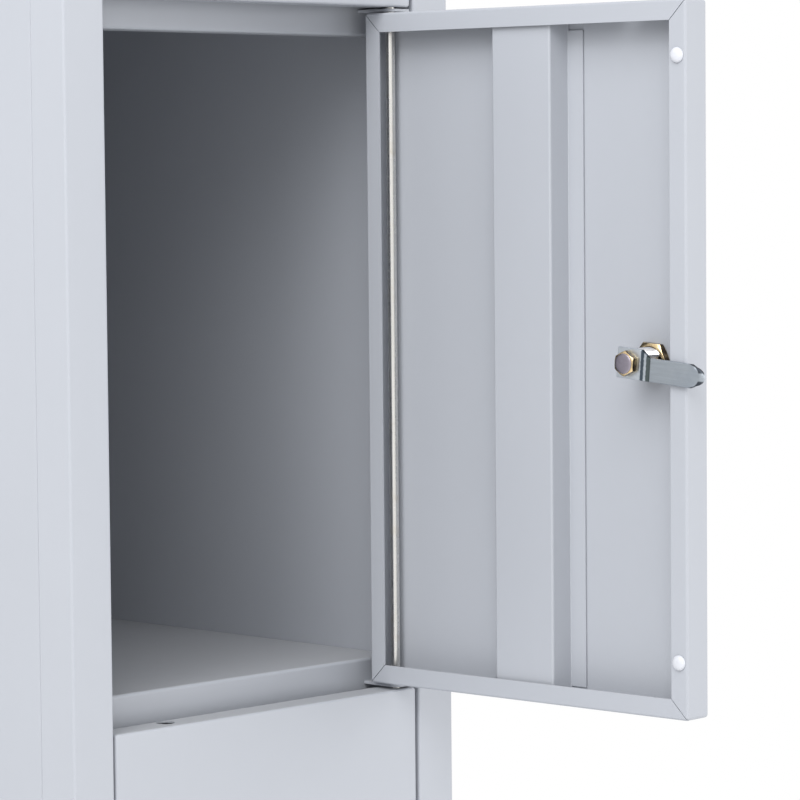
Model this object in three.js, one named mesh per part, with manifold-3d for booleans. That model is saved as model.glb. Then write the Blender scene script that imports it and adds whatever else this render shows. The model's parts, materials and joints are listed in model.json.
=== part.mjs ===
// A four-tier sheet-steel parcel locker: one column of lockable compartments on a plinth.
// Millimetres, +Z up. X runs across the front, Y runs from the front to the back, and the
// origin is on the floor under the centre of the cabinet.

import * as THREE from 'three';
import { mergeVertices } from 'three/addons/utils/BufferGeometryUtils.js';
import Module from 'manifold-3d';

const wasm = await Module();
wasm.setup();

// ---- cabinet ----
const TIERS = 4;
const OPEN_TIER = 3; // counted from the bottom
const OPENING_WIDTH = 268; // between the two stiles
const STILE_WIDTH = 32;
const CABINET_DEPTH = 500;
const DOOR_HEIGHT = 440;
const DOOR_GAP = 4; // between two doors, and between an end door and its tray
const TRAY_HEIGHT = 10; // rims of the roof and base trays
const PLINTH_HEIGHT = 50;
const PLINTH_INSET = 12;
const PLINTH_FLANGE = 30;
const CROSSBAR_WIDTH = 40;
const SHEET = 1; // sheet thickness of every folded panel
const SEAM = 0.3; // gap left between two pieces that touch

// ---- stiles and rails ----
const STILE_PAST_DOOR = 9; // a stile's return, behind the back of a shut door
const STILE_RETURN = 18;
const STOP_PAST_DOOR = 3; // lock-side stop flange, behind the back of a shut door
const STOP_WIDTH = 18;
const RAIL_PAST_DOOR = 11; // a rail's face, behind the back of a shut door
const RAIL_HEIGHT = 32;
const RAIL_RETURN = 20;
const SHELF_BACK_FLANGE = 15;
const WALL_OFFSET = 8.8; // from a stile's inner edge out to the compartment wall
const HEAD_RAIL_TOP_RETURN = 12;

// ---- doors ----
const DOOR_GAP_LOCK = 1.6; // to the lock-side stile
const DOOR_GAP_HINGE = 3; // to the hinge-side stile
const DOOR_THICKNESS = 21;
const DOOR_LIP = 12.5;
const HANG_HOLE_RADIUS = 6; // in a door's top wall, for hanging it in the paint line
const HANG_HOLE_EDGE = 52.4; // from the door's free edge
const HANG_HOLE_BELOW_LIP = 7.5; // its middle, below the back of the door's lips
const OPEN_ANGLE = 92; // of the open door, degrees
const PIVOT_INSET = 10.6; // hinge axis from the door's hinge edge
const PIVOT_DEPTH = 8; // hinge axis from the door's face
const ROD_RADIUS = 3;
const ROD_CLEARANCE = 0.3;
const ROD_END = 6; // past the last lug, at the top and the bottom
const LUG_THICKNESS = 2;
const LUG_NOSE_RADIUS = 6.2;
const LUG_CORNER_RADIUS = 2.5;

// ---- door stiffener, a hat section welded to the skin ----
const HAT_NEAR = 106.3; // raised face, from the hinge edge
const HAT_WIDTH = 47.7;
const HAT_SLOPE = 2; // how far each wall leans out at its foot
const HAT_BELOW_LIP = 3.2; // raised face, below the back of the door's lips
const HAT_FLANGE = 12.2;
const HAT_FLANGE_CUT_TOP = 15.5;
const HAT_FLANGE_CUT_BOTTOM = 10;
const HAT_END_GAP = 0.5; // to the pan's top and bottom walls

// ---- cam lock ----
const LOCK_INSET = 40; // lock axis, from the door's free edge
const LOCK_BELOW_MIDDLE = 1.5; // lock axis, below the middle of the door's height
const HEAD_RIM = 3.8; // the head's edge, past the barrel
const HEAD_THICKNESS = 2.5;
const BARREL_RADIUS = 9.2;
const BARREL_FLATS = 16;
const BARREL_PAST_DOOR = 3.7; // behind the back of the door's lips
const LOCK_NUT_WALL = 2.3; // the nut's flats, past the barrel
const LOCK_NUT_THICKNESS = 5.5;
const LOCK_NUT_TURN = 25; // where it stopped when tightened: a flat nearly level on top
const PLUG_RADIUS = 6;
const PLUG_CLEARANCE = 0.2;
const KEYWAY_WIDTH = 1.6;
const KEYWAY_LENGTH = 8.4;
const KEYWAY_DEPTH = 14;
const STUD_RADIUS = 4.4;
const STUD_FLATS = 6.6;
const STUD_PROUD = 0.8; // past the cam nut
const CAM_NUT_ACROSS_FLATS = 14;
const CAM_NUT_THICKNESS = 4.5;
const NUT_BORE_CLEARANCE = 0.2;

// ---- cam ----
const CAM_THICKNESS = 2.5;
const CAM_REACH = 55.5; // lock axis to the tip
const CAM_BLADE_WIDTH = 14.6;
const CAM_BLADE_DROP = 2.6; // blade's centre line, below the lock axis when thrown
const CAM_BASE_HEIGHT = 19;
const CAM_BASE_TAIL = 8.5; // behind the lock axis
const CAM_JOGGLE_NEAR = 9.6; // lock axis to the start of the joggle
const CAM_JOGGLE_LENGTH = 4;
const CAM_LIP_CLEARANCE = 1.3; // blade to the door's lip
const CAM_TIP_BEVEL = 3;
const CAM_TIP_RADIUS = 6;
const CAM_SLOT_CLEARANCE = 4;
const CAM_CATCH_PLAY = 1; // thrown blade to the edge it catches behind
const CAM_THROW = 90; // drawn, pointing down, to fully thrown, degrees
const CAM_REST_THROW = 85; // of the open door's cam

// ---- buffers ----
const BUFFER_RADIUS = 4.75;
const BUFFER_STEM_RADIUS = 2.2;
const BUFFER_STEM_LENGTH = 4;
const BUFFER_HOLE_CLEARANCE = 0.3;
const BUFFER_EDGE = 6.3; // from the door's free edge
const BUFFER_FROM_BOTTOM = 35.6;
const BUFFER_FROM_TOP = 33.9;

// ---- smoothness of round shapes ----
const SIDES = 32;
const SMALL_SIDES = 20;

// ---- worked out ----
const FRONT = -CABINET_DEPTH / 2;
const BACK = CABINET_DEPTH / 2;
const HALF_OPENING = OPENING_WIDTH / 2;
const HALF_WIDTH = HALF_OPENING + STILE_WIDTH;
const TIER_PITCH = DOOR_HEIGHT + DOOR_GAP;
const BODY_TOP = PLINTH_HEIGHT + 2 * TRAY_HEIGHT + DOOR_GAP + TIERS * TIER_PITCH;
const TRAY_TOP = PLINTH_HEIGHT + TRAY_HEIGHT;
const UPRIGHT_BOTTOM = TRAY_TOP + SEAM;
const UPRIGHT_TOP = BODY_TOP - TRAY_HEIGHT - SEAM;
const DOOR_WIDTH = OPENING_WIDTH - DOOR_GAP_LOCK - DOOR_GAP_HINGE;
const PIVOT_X = HALF_OPENING - DOOR_GAP_HINGE - PIVOT_INSET;
const PIVOT_Y = FRONT + PIVOT_DEPTH;
const LOCK_ALONG = DOOR_WIDTH - LOCK_INSET;
const LOCK_HEIGHT = DOOR_HEIGHT / 2 - LOCK_BELOW_MIDDLE;
const STILE_DEPTH = DOOR_THICKNESS + STILE_PAST_DOOR; // these five are behind the front plane
const STOP_DEPTH = DOOR_THICKNESS + STOP_PAST_DOOR;
const RAIL_DEPTH = DOOR_THICKNESS + RAIL_PAST_DOOR;
const HAT_HEIGHT = DOOR_THICKNESS - HAT_BELOW_LIP;
const BARREL_LENGTH = DOOR_THICKNESS + BARREL_PAST_DOOR;
const BLADE_FACE = DOOR_THICKNESS + CAM_LIP_CLEARANCE;
const HEAD_RADIUS = BARREL_RADIUS + HEAD_RIM;
const LOCK_NUT_ACROSS_FLATS = 2 * (BARREL_RADIUS + LOCK_NUT_WALL);
const CAM_BASE_FACE = BARREL_LENGTH + SEAM + PLUG_CLEARANCE;
const CAM_NUT_FACE = CAM_BASE_FACE + CAM_THICKNESS + PLUG_CLEARANCE;
const INNER_WALL = HALF_OPENING + WALL_OFFSET;

/** The height of the middle of the gap below a tier; tier TIERS is the gap above the top door. */
const gapHeight = (tier) => TRAY_TOP + DOOR_GAP / 2 + tier * TIER_PITCH;

// ---------------------------------------------------------------- materials

const paint = () => new THREE.MeshStandardMaterial({ color: 0xcfd1d6, roughness: 0.5, metalness: 0.1 });
const plinthPaint = () => new THREE.MeshStandardMaterial({ color: 0x55585c, roughness: 0.55, metalness: 0.1 });
const zinc = () => new THREE.MeshStandardMaterial({ color: 0xb9bcc0, roughness: 0.35, metalness: 1 });
const camSteel = () => new THREE.MeshStandardMaterial({ color: 0x7d8790, roughness: 0.4, metalness: 1 });
const brass = () => new THREE.MeshStandardMaterial({ color: 0xc9a868, roughness: 0.3, metalness: 1 });
const chrome = () => new THREE.MeshStandardMaterial({ color: 0xd8dadd, roughness: 0.15, metalness: 1 });
const darkBronze = () => new THREE.MeshStandardMaterial({ color: 0x4a4550, roughness: 0.35, metalness: 1 });
const whiteNylon = () => new THREE.MeshStandardMaterial({ color: 0xe9ebf2, roughness: 0.45, metalness: 0 });

// ---------------------------------------------------------------- solids

/** A closed geometry as a solid that can be joined and cut. */
function solid(geometry) {
  const bare = geometry.clone();
  bare.deleteAttribute('normal');
  bare.deleteAttribute('uv');
  const welded = mergeVertices(bare, 1e-4);
  const vertProperties = new Float32Array(welded.attributes.position.array);
  const triVerts = new Uint32Array(welded.index.array);
  return new wasm.Manifold(new wasm.Mesh({ numProp: 3, vertProperties, triVerts }));
}

function meshOf(name, shape, material) {
  const { vertProperties, triVerts } = shape.getMesh();
  const geometry = new THREE.BufferGeometry();
  geometry.setAttribute('position', new THREE.BufferAttribute(new Float32Array(vertProperties), 3));
  geometry.setIndex(new THREE.BufferAttribute(new Uint32Array(triVerts), 1));
  geometry.computeVertexNormals();
  const mesh = new THREE.Mesh(geometry, material);
  mesh.name = name;
  return mesh;
}

function box(x0, x1, y0, y1, z0, z1) {
  const geometry = new THREE.BoxGeometry(x1 - x0, y1 - y0, z1 - z0);
  geometry.translate((x0 + x1) / 2, (y0 + y1) / 2, (z0 + z1) / 2);
  return solid(geometry);
}

const X_AXIS = new THREE.Vector3(1, 0, 0);
const Y_AXIS = new THREE.Vector3(0, 1, 0);
const Z_AXIS = new THREE.Vector3(0, 0, 1);

function prism(shape, length, along, across, up) {
  const geometry = new THREE.ExtrudeGeometry(shape, { depth: length, bevelEnabled: false, curveSegments: 8 });
  geometry.applyMatrix4(new THREE.Matrix4().makeBasis(across, up, along));
  return solid(geometry);
}

/** A plan outline (X, Y) raised from z0 to z1. */
const upright = (shape, z0, z1) => prism(shape, z1 - z0, Z_AXIS, X_AXIS, Y_AXIS).translate([0, 0, z0]);

/** A side outline (Y, Z) drawn out from x0 to x1. */
const crosswise = (shape, x0, x1) => prism(shape, x1 - x0, X_AXIS, Y_AXIS, Z_AXIS).translate([x0, 0, 0]);

/** A front outline (X, Z) drawn back from y0 to y1. */
function backward(shape, y0, y1) {
  return prism(shape, y1 - y0, Y_AXIS.clone().negate(), X_AXIS, Z_AXIS).translate([0, y1, 0]);
}

/** The outline of a folded sheet: its outer faces as a path, with the metal on the path's left. */
function folded(points, thickness = SHEET) {
  const path = points.map(([x, y]) => new THREE.Vector2(x, y));
  const heading = (i) => path[i + 1].clone().sub(path[i]).normalize();
  const left = (v) => new THREE.Vector2(-v.y, v.x);
  const inner = path.map((point, i) => {
    const before = heading(Math.max(i - 1, 0));
    const after = heading(Math.min(i, path.length - 2));
    const mitre = left(before).add(left(after)).multiplyScalar(thickness / (1 + before.dot(after)));
    return point.clone().add(mitre);
  });
  return new THREE.Shape([...path, ...inner.reverse()]);
}

/** A solid of revolution about Y; the profile is a closed loop of [radius, y] pairs. */
function turned(profile, segments = SIDES) {
  const loop = [...profile, profile[0]].map(([radius, y]) => new THREE.Vector2(radius, y));
  return solid(new THREE.LatheGeometry(loop, segments));
}

/** A round bar along Z. */
function bar(radius, z0, z1, segments = SMALL_SIDES) {
  const geometry = new THREE.CylinderGeometry(radius, radius, z1 - z0, segments);
  geometry.rotateX(Math.PI / 2);
  geometry.translate(0, 0, (z0 + z1) / 2);
  return solid(geometry);
}

/** A round bar along Y. */
function pin(radius, y0, y1, segments = SIDES) {
  const geometry = new THREE.CylinderGeometry(radius, radius, y1 - y0, segments);
  geometry.translate(0, (y0 + y1) / 2, 0);
  return solid(geometry);
}

/** A hexagonal nut along Y with chamfered corners and a round bore. */
function hexNut(acrossFlats, boreRadius, y0, y1) {
  const cornerRadius = acrossFlats / Math.sqrt(3);
  const hex = new THREE.CylinderGeometry(cornerRadius, cornerRadius, y1 - y0, 6);
  hex.translate(0, (y0 + y1) / 2, 0);
  const flat = acrossFlats / 2;
  const chamfer = (cornerRadius - flat) / Math.sqrt(3);
  const dome = turned([
    [0, y0],
    [flat, y0],
    [cornerRadius, y0 + chamfer],
    [cornerRadius, y1 - chamfer],
    [flat, y1],
    [0, y1],
  ]);
  return solid(hex).intersect(dome).subtract(pin(boreRadius, y0 - 1, y1 + 1));
}

/** A round bar along Y with two flats, upright when the lock is at rest. */
function flattedBar(radius, acrossFlats, y0, y1) {
  const flats = box(-acrossFlats / 2, acrossFlats / 2, y0, y1, -radius - 1, radius + 1);
  return pin(radius, y0 - 1, y1 + 1).intersect(flats);
}

// ---------------------------------------------------------------- cabinet

function plinthFrame() {
  const x = HALF_WIDTH - PLINTH_INSET;
  const front = FRONT + PLINTH_INSET;
  const back = BACK - PLINTH_INSET;
  const top = PLINTH_HEIGHT - SEAM;
  const outside = box(-x, x, front, back, 0, top);
  const hollow = box(-x + SHEET, x - SHEET, front + SHEET, back - SHEET, SHEET, top - SHEET);
  const inset = PLINTH_FLANGE;
  const window = box(-x + inset, x - inset, front + inset, back - inset, -1, top + 1);
  return outside.subtract(hollow).subtract(window);
}

/** A flat strap across the plinth, standing on the floor in the middle of the cabinet. */
function plinthCrossbar() {
  const reach = HALF_WIDTH - PLINTH_INSET - PLINTH_FLANGE - SEAM;
  const half = CROSSBAR_WIDTH / 2;
  const profile = folded([
    [half, 0],
    [half, PLINTH_HEIGHT - SEAM],
    [-half, PLINTH_HEIGHT - SEAM],
    [-half, 0],
    [half - 2 * SHEET, 0],
  ]);
  return crosswise(profile, -reach, reach);
}

function tray(z0, z1, inside0, inside1) {
  const outside = box(-HALF_WIDTH, HALF_WIDTH, FRONT, BACK, z0, z1);
  const x = HALF_WIDTH - SHEET;
  return outside.subtract(box(-x, x, FRONT + SHEET, BACK - SHEET, inside0, inside1));
}

/** A double-skinned side wall: outer skin, front web and inner skin, open at the back. */
function sidePanel(side) {
  const front = FRONT + STILE_DEPTH + SEAM;
  const back = BACK - SHEET - SEAM;
  const path = [
    [side * HALF_WIDTH, back],
    [side * HALF_WIDTH, front],
    [side * INNER_WALL, front],
    [side * INNER_WALL, back],
  ];
  return upright(folded(side < 0 ? path : path.reverse()), UPRIGHT_BOTTOM, UPRIGHT_TOP);
}

function backPanel() {
  return box(-HALF_WIDTH, HALF_WIDTH, BACK - SHEET, BACK, UPRIGHT_BOTTOM, UPRIGHT_TOP);
}

/** The slot and notch that let one cam swing in behind the lock-side stile. */
function camSlot(tier) {
  const axisX = -HALF_OPENING + DOOR_GAP_LOCK + LOCK_INSET;
  const axisZ = gapHeight(tier) + DOOR_GAP / 2 + LOCK_HEIGHT;
  const sweep = Math.hypot(CAM_REACH, CAM_BLADE_DROP + CAM_BLADE_WIDTH / 2);
  const lowest = (x) => axisZ - Math.sqrt(sweep ** 2 - (axisX - x) ** 2) - CAM_SLOT_CLEARANCE;
  const top = axisZ + CAM_BLADE_WIDTH / 2 + CAM_SLOT_CLEARANCE;
  const catchY = FRONT + BLADE_FACE - CAM_CATCH_PLAY;
  const flangeY = FRONT + STOP_DEPTH;
  const wallX = -HALF_OPENING;
  const stopX = wallX + STOP_WIDTH;
  const wallSlot = box(wallX - 2 * SHEET, wallX + SEAM, catchY, flangeY + 2, lowest(wallX), top);
  const notch = box(wallX, stopX + 1, flangeY - 1, flangeY + 2, lowest(stopX), top);
  return wallSlot.add(notch);
}

function lockSideStile() {
  const profile = folded([
    [-HALF_WIDTH, FRONT + STILE_DEPTH],
    [-HALF_WIDTH, FRONT],
    [-HALF_OPENING, FRONT],
    [-HALF_OPENING, FRONT + STOP_DEPTH],
    [-HALF_OPENING + STOP_WIDTH, FRONT + STOP_DEPTH],
  ]);
  let stile = upright(profile, UPRIGHT_BOTTOM, UPRIGHT_TOP);
  for (let tier = 0; tier < TIERS; tier++) {
    stile = stile.subtract(camSlot(tier));
  }
  return stile;
}

function hingeSideStile() {
  const profile = folded([
    [HALF_OPENING + STILE_RETURN, FRONT + STILE_DEPTH],
    [HALF_OPENING, FRONT + STILE_DEPTH],
    [HALF_OPENING, FRONT],
    [HALF_WIDTH, FRONT],
    [HALF_WIDTH, FRONT + STILE_DEPTH],
  ]);
  return upright(profile, UPRIGHT_BOTTOM, UPRIGHT_TOP);
}

/** A shelf folded down at the front into the rail between two doors. */
function shelf(top, bottom) {
  const back = BACK - SHEET - SEAM;
  const front = FRONT + RAIL_DEPTH;
  const profile = folded([
    [back, top - SHELF_BACK_FLANGE],
    [back, top],
    [front, top],
    [front, bottom],
    [front + RAIL_RETURN, bottom],
  ]);
  return crosswise(profile, -INNER_WALL + SEAM, INNER_WALL - SEAM);
}

function headRail() {
  const front = FRONT + RAIL_DEPTH;
  const bottom = gapHeight(TIERS) - RAIL_HEIGHT / 2;
  const profile = folded([
    [front + HEAD_RAIL_TOP_RETURN, UPRIGHT_TOP],
    [front, UPRIGHT_TOP],
    [front, bottom],
    [front + RAIL_RETURN, bottom],
  ]);
  return crosswise(profile, -INNER_WALL + SEAM, INNER_WALL - SEAM);
}

// ---------------------------------------------------------------- hinge

/** A lug from the rail's face to the hinge axis, with a rounded nose. */
function hingeLug(tier) {
  const back = FRONT + RAIL_DEPTH - SEAM;
  const right = HALF_OPENING - SEAM;
  const left = PIVOT_X - LUG_NOSE_RADIUS;
  const nose = PIVOT_Y - LUG_NOSE_RADIUS;
  const plan = new THREE.Shape();
  plan.moveTo(right, back);
  plan.lineTo(left, back);
  plan.lineTo(left, PIVOT_Y);
  plan.absarc(PIVOT_X, PIVOT_Y, LUG_NOSE_RADIUS, Math.PI, 1.5 * Math.PI, false);
  plan.lineTo(right - LUG_CORNER_RADIUS, nose);
  plan.absarc(right - LUG_CORNER_RADIUS, nose + LUG_CORNER_RADIUS, LUG_CORNER_RADIUS, -Math.PI / 2, 0, false);
  const z0 = gapHeight(tier) - LUG_THICKNESS / 2;
  const z1 = z0 + LUG_THICKNESS;
  const hole = bar(ROD_RADIUS + ROD_CLEARANCE, z0 - 1, z1 + 1).translate([PIVOT_X, PIVOT_Y, 0]);
  return upright(plan, z0, z1).subtract(hole);
}

function hingeRod() {
  const z0 = gapHeight(0) - ROD_END;
  const z1 = gapHeight(TIERS) + ROD_END;
  return bar(ROD_RADIUS, z0, z1).translate([PIVOT_X, PIVOT_Y, 0]);
}

// ---------------------------------------------------------------- door
// In a door's own frame the hinge axis is at x = 0, y = 0 and the door's lower edge is at z = 0.
// "Along" is measured from the hinge edge to the free edge, and "deep" from the door's face inward.

const alongX = (along) => PIVOT_INSET - along;
const deepY = (deep) => deep - PIVOT_DEPTH;

function doorBox(along0, along1, deep0, deep1, z0, z1) {
  return box(alongX(along1), alongX(along0), deepY(deep0), deepY(deep1), z0, z1);
}

/** Moves a piece drawn about the lock's axis, with y = 0 at the door's face, to its place. */
const atLock = (piece) => piece.translate([alongX(LOCK_ALONG), deepY(0), LOCK_HEIGHT]);

const bufferHeights = [BUFFER_FROM_BOTTOM, DOOR_HEIGHT - BUFFER_FROM_TOP];
const atBuffer = (piece, z) => piece.translate([alongX(DOOR_WIDTH - BUFFER_EDGE), deepY(DOOR_THICKNESS), z]);

function doorPanel() {
  const inside = DOOR_THICKNESS - SHEET;
  const top = DOOR_HEIGHT - SHEET;
  let pan = doorBox(0, DOOR_WIDTH, 0, DOOR_THICKNESS, 0, DOOR_HEIGHT);
  pan = pan.subtract(doorBox(SHEET, DOOR_WIDTH - SHEET, SHEET, inside, SHEET, top));
  const lip = DOOR_LIP;
  pan = pan.subtract(doorBox(lip, DOOR_WIDTH - lip, inside - 1, DOOR_THICKNESS + 1, lip, DOOR_HEIGHT - lip));
  pan = pan.subtract(bar(ROD_RADIUS + ROD_CLEARANCE, -1, DOOR_HEIGHT + 1));
  const hangHole = bar(HANG_HOLE_RADIUS, top - 1, DOOR_HEIGHT + 1, SIDES);
  pan = pan.subtract(hangHole.translate([alongX(DOOR_WIDTH - HANG_HOLE_EDGE), deepY(DOOR_THICKNESS - HANG_HOLE_BELOW_LIP), 0]));
  pan = pan.subtract(atLock(flattedBar(BARREL_RADIUS + SEAM, BARREL_FLATS + 2 * SEAM, -1, SHEET + 1)));
  for (const z of bufferHeights) {
    pan = pan.subtract(atBuffer(pin(BUFFER_STEM_RADIUS + BUFFER_HOLE_CLEARANCE, -2, 1, SMALL_SIDES), z));
  }
  return pan;
}

function doorStiffener() {
  const foot = SHEET + SEAM; // the flange's face on the skin
  const near = HAT_NEAR;
  const far = HAT_NEAR + HAT_WIDTH;
  const profile = folded([
    [alongX(far + HAT_SLOPE + HAT_FLANGE), deepY(foot + SHEET)],
    [alongX(far + HAT_SLOPE), deepY(foot + SHEET)],
    [alongX(far), deepY(HAT_HEIGHT)],
    [alongX(near), deepY(HAT_HEIGHT)],
    [alongX(near - HAT_SLOPE), deepY(foot + SHEET)],
    [alongX(near - HAT_SLOPE - HAT_FLANGE), deepY(foot + SHEET)],
  ].reverse());
  const z0 = SHEET + HAT_END_GAP;
  const z1 = DOOR_HEIGHT - SHEET - HAT_END_GAP;
  let hat = upright(profile, z0, z1);
  const cuts = [
    [0, HAT_FLANGE_CUT_BOTTOM],
    [DOOR_HEIGHT - HAT_FLANGE_CUT_TOP, DOOR_HEIGHT],
  ];
  const outerNear = near - HAT_SLOPE - HAT_FLANGE - 1;
  const outerFar = far + HAT_SLOPE + HAT_FLANGE + 1;
  for (const [low, high] of cuts) {
    hat = hat.subtract(doorBox(outerNear, near - HAT_SLOPE, 0, foot + SHEET + SEAM, low, high));
    hat = hat.subtract(doorBox(far + HAT_SLOPE, outerFar, 0, foot + SHEET + SEAM, low, high));
  }
  return hat;
}

function lockBody() {
  const bore = PLUG_RADIUS + PLUG_CLEARANCE;
  const rim = 1;
  const headBack = -SEAM;
  const headFront = headBack - HEAD_THICKNESS;
  const head = turned([
    [bore, headFront],
    [HEAD_RADIUS - rim, headFront],
    [HEAD_RADIUS, headFront + rim],
    [HEAD_RADIUS, headBack],
    [bore, headBack],
  ]);
  const barrel = flattedBar(BARREL_RADIUS, BARREL_FLATS, headBack - 1, BARREL_LENGTH);
  const hollow = pin(bore, headFront - 1, BARREL_LENGTH + 1);
  return atLock(head.add(barrel).subtract(hollow));
}

function lockNut() {
  const face = SHEET + SEAM;
  const bore = BARREL_RADIUS + NUT_BORE_CLEARANCE;
  const nut = hexNut(LOCK_NUT_ACROSS_FLATS, bore, face, face + LOCK_NUT_THICKNESS);
  return atLock(nut.rotate([0, LOCK_NUT_TURN, 0]));
}

function buffer(z) {
  const crown = STOP_DEPTH - DOOR_THICKNESS - SEAM;
  const foot = SEAM;
  const profile = [
    [0, -BUFFER_STEM_LENGTH],
    [BUFFER_STEM_RADIUS, -BUFFER_STEM_LENGTH],
    [BUFFER_STEM_RADIUS, foot],
    [BUFFER_RADIUS, foot],
  ];
  const steps = 5;
  for (let i = 1; i <= steps; i++) {
    const angle = (i / steps) * (Math.PI / 2);
    profile.push([BUFFER_RADIUS * Math.cos(angle), foot + (crown - foot) * Math.sin(angle)]);
  }
  profile[profile.length - 1][0] = 0;
  return atBuffer(turned(profile, SMALL_SIDES), z);
}

// ---------------------------------------------------------------- turning pieces of the lock
// Drawn about the lock's axis with the cam fully thrown, so that its blade points along -x.

function lockPlug() {
  const front = -SEAM - HEAD_THICKNESS + PLUG_CLEARANCE;
  const shoulder = BARREL_LENGTH + PLUG_CLEARANCE;
  const end = CAM_NUT_FACE + CAM_NUT_THICKNESS + STUD_PROUD;
  const core = pin(PLUG_RADIUS, front, shoulder);
  const stud = flattedBar(STUD_RADIUS, STUD_FLATS, shoulder - 1, CAM_NUT_FACE - PLUG_CLEARANCE);
  const thread = pin(STUD_RADIUS, CAM_NUT_FACE - PLUG_CLEARANCE, end);
  const half = KEYWAY_LENGTH / 2;
  const keyway = box(-half, half, front - 1, front + KEYWAY_DEPTH, -KEYWAY_WIDTH / 2, KEYWAY_WIDTH / 2);
  return core.add(stud).add(thread).subtract(keyway);
}

/** The cam's face: a square base and a narrower blade with a rounded, bevelled tip. */
function camOutline() {
  const top = CAM_BASE_HEIGHT / 2;
  const bladeTop = -CAM_BLADE_DROP + CAM_BLADE_WIDTH / 2;
  const bladeBottom = -CAM_BLADE_DROP - CAM_BLADE_WIDTH / 2;
  const neck = -CAM_JOGGLE_NEAR;
  const tip = -CAM_REACH;
  const round = CAM_TIP_RADIUS;
  const outline = new THREE.Shape();
  outline.moveTo(CAM_BASE_TAIL, -top);
  outline.lineTo(CAM_BASE_TAIL, top);
  outline.lineTo(neck, top);
  outline.lineTo(neck - CAM_JOGGLE_LENGTH, bladeTop);
  outline.lineTo(tip + round + CAM_TIP_BEVEL, bladeTop);
  outline.lineTo(tip + round, bladeTop - CAM_TIP_BEVEL / 2);
  outline.quadraticCurveTo(tip, bladeTop - round / 2, tip, (bladeTop + bladeBottom) / 2);
  outline.quadraticCurveTo(tip, bladeBottom + round / 2, tip + round, bladeBottom + CAM_TIP_BEVEL / 2);
  outline.lineTo(tip + round + CAM_TIP_BEVEL, bladeBottom);
  outline.lineTo(neck - CAM_JOGGLE_LENGTH, bladeBottom);
  outline.lineTo(neck, -top);
  return outline;
}

function cam() {
  const bend = folded([
    [CAM_BASE_TAIL + 1, CAM_BASE_FACE + CAM_THICKNESS],
    [-CAM_JOGGLE_NEAR, CAM_BASE_FACE + CAM_THICKNESS],
    [-CAM_JOGGLE_NEAR - CAM_JOGGLE_LENGTH, BLADE_FACE + CAM_THICKNESS],
    [-CAM_REACH - 1, BLADE_FACE + CAM_THICKNESS],
  ], CAM_THICKNESS);
  const strip = upright(bend, -CAM_BASE_HEIGHT, CAM_BASE_HEIGHT);
  const face = backward(camOutline(), BLADE_FACE - 1, CAM_NUT_FACE + 1);
  const hole = flattedBar(STUD_RADIUS + PLUG_CLEARANCE, STUD_FLATS + 2 * PLUG_CLEARANCE, 0, CAM_NUT_FACE + 1);
  return strip.intersect(face).subtract(hole);
}

function camNut() {
  const bore = STUD_RADIUS + NUT_BORE_CLEARANCE;
  return hexNut(CAM_NUT_ACROSS_FLATS, bore, CAM_NUT_FACE, CAM_NUT_FACE + CAM_NUT_THICKNESS);
}

// ---------------------------------------------------------------- assembly

function cabinet() {
  const group = new THREE.Group();
  const roof = tray(BODY_TOP - TRAY_HEIGHT, BODY_TOP, BODY_TOP - TRAY_HEIGHT - 1, BODY_TOP - SHEET);
  const base = tray(PLINTH_HEIGHT, TRAY_TOP, PLINTH_HEIGHT + SHEET, TRAY_TOP + 1);
  const floorTop = gapHeight(0) + RAIL_HEIGHT / 2;
  group.add(
    meshOf('plinth_frame', plinthFrame(), plinthPaint()),
    meshOf('plinth_crossbar', plinthCrossbar(), plinthPaint()),
    meshOf('base_tray', base, paint()),
    meshOf('roof_tray', roof, paint()),
    meshOf('side_panel_left', sidePanel(-1), paint()),
    meshOf('side_panel_right', sidePanel(1), paint()),
    meshOf('back_panel', backPanel(), paint()),
    meshOf('stile_lock_side', lockSideStile(), paint()),
    meshOf('stile_hinge_side', hingeSideStile(), paint()),
    meshOf('floor_shelf', shelf(floorTop, UPRIGHT_BOTTOM), paint()),
    meshOf('head_rail', headRail(), paint()),
    meshOf('hinge_rod', hingeRod(), zinc()),
  );
  for (let tier = 1; tier < TIERS; tier++) {
    const middle = gapHeight(tier);
    const piece = shelf(middle + RAIL_HEIGHT / 2, middle - RAIL_HEIGHT / 2);
    group.add(meshOf(`shelf_${tier}`, piece, paint()));
  }
  for (let tier = 0; tier <= TIERS; tier++) {
    group.add(meshOf(`hinge_lug_${tier + 1}`, hingeLug(tier), paint()));
  }
  return group;
}

function door(number) {
  const group = new THREE.Group();
  const open = number === OPEN_TIER;
  const [low, high] = bufferHeights;
  group.add(
    meshOf(`door_${number}_panel`, doorPanel(), paint()),
    meshOf(`door_${number}_stiffener`, doorStiffener(), paint()),
    meshOf(`door_${number}_lock_body`, lockBody(), chrome()),
    meshOf(`door_${number}_lock_nut`, lockNut(), brass()),
    meshOf(`door_${number}_buffer_bottom`, buffer(low), whiteNylon()),
    meshOf(`door_${number}_buffer_top`, buffer(high), whiteNylon()),
  );

  const turning = new THREE.Group();
  turning.add(
    meshOf(`door_${number}_lock_plug`, lockPlug(), darkBronze()),
    meshOf(`door_${number}_cam`, cam(), camSteel()),
    meshOf(`door_${number}_cam_nut`, camNut(), brass()),
  );
  const shortOfFull = CAM_THROW - (open ? CAM_REST_THROW : 0);
  turning.position.set(alongX(LOCK_ALONG), deepY(0), LOCK_HEIGHT);
  turning.rotation.y = THREE.MathUtils.degToRad(-shortOfFull);
  group.add(turning);

  group.position.set(PIVOT_X, PIVOT_Y, gapHeight(number - 1) + DOOR_GAP / 2);
  group.rotation.z = THREE.MathUtils.degToRad(open ? OPEN_ANGLE : 0);
  return group;
}

const parcelLocker = new THREE.Group();
parcelLocker.add(cabinet());
for (let number = 1; number <= TIERS; number++) {
  parcelLocker.add(door(number));
}
parcelLocker.updateMatrixWorld(true);

export default parcelLocker;
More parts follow.
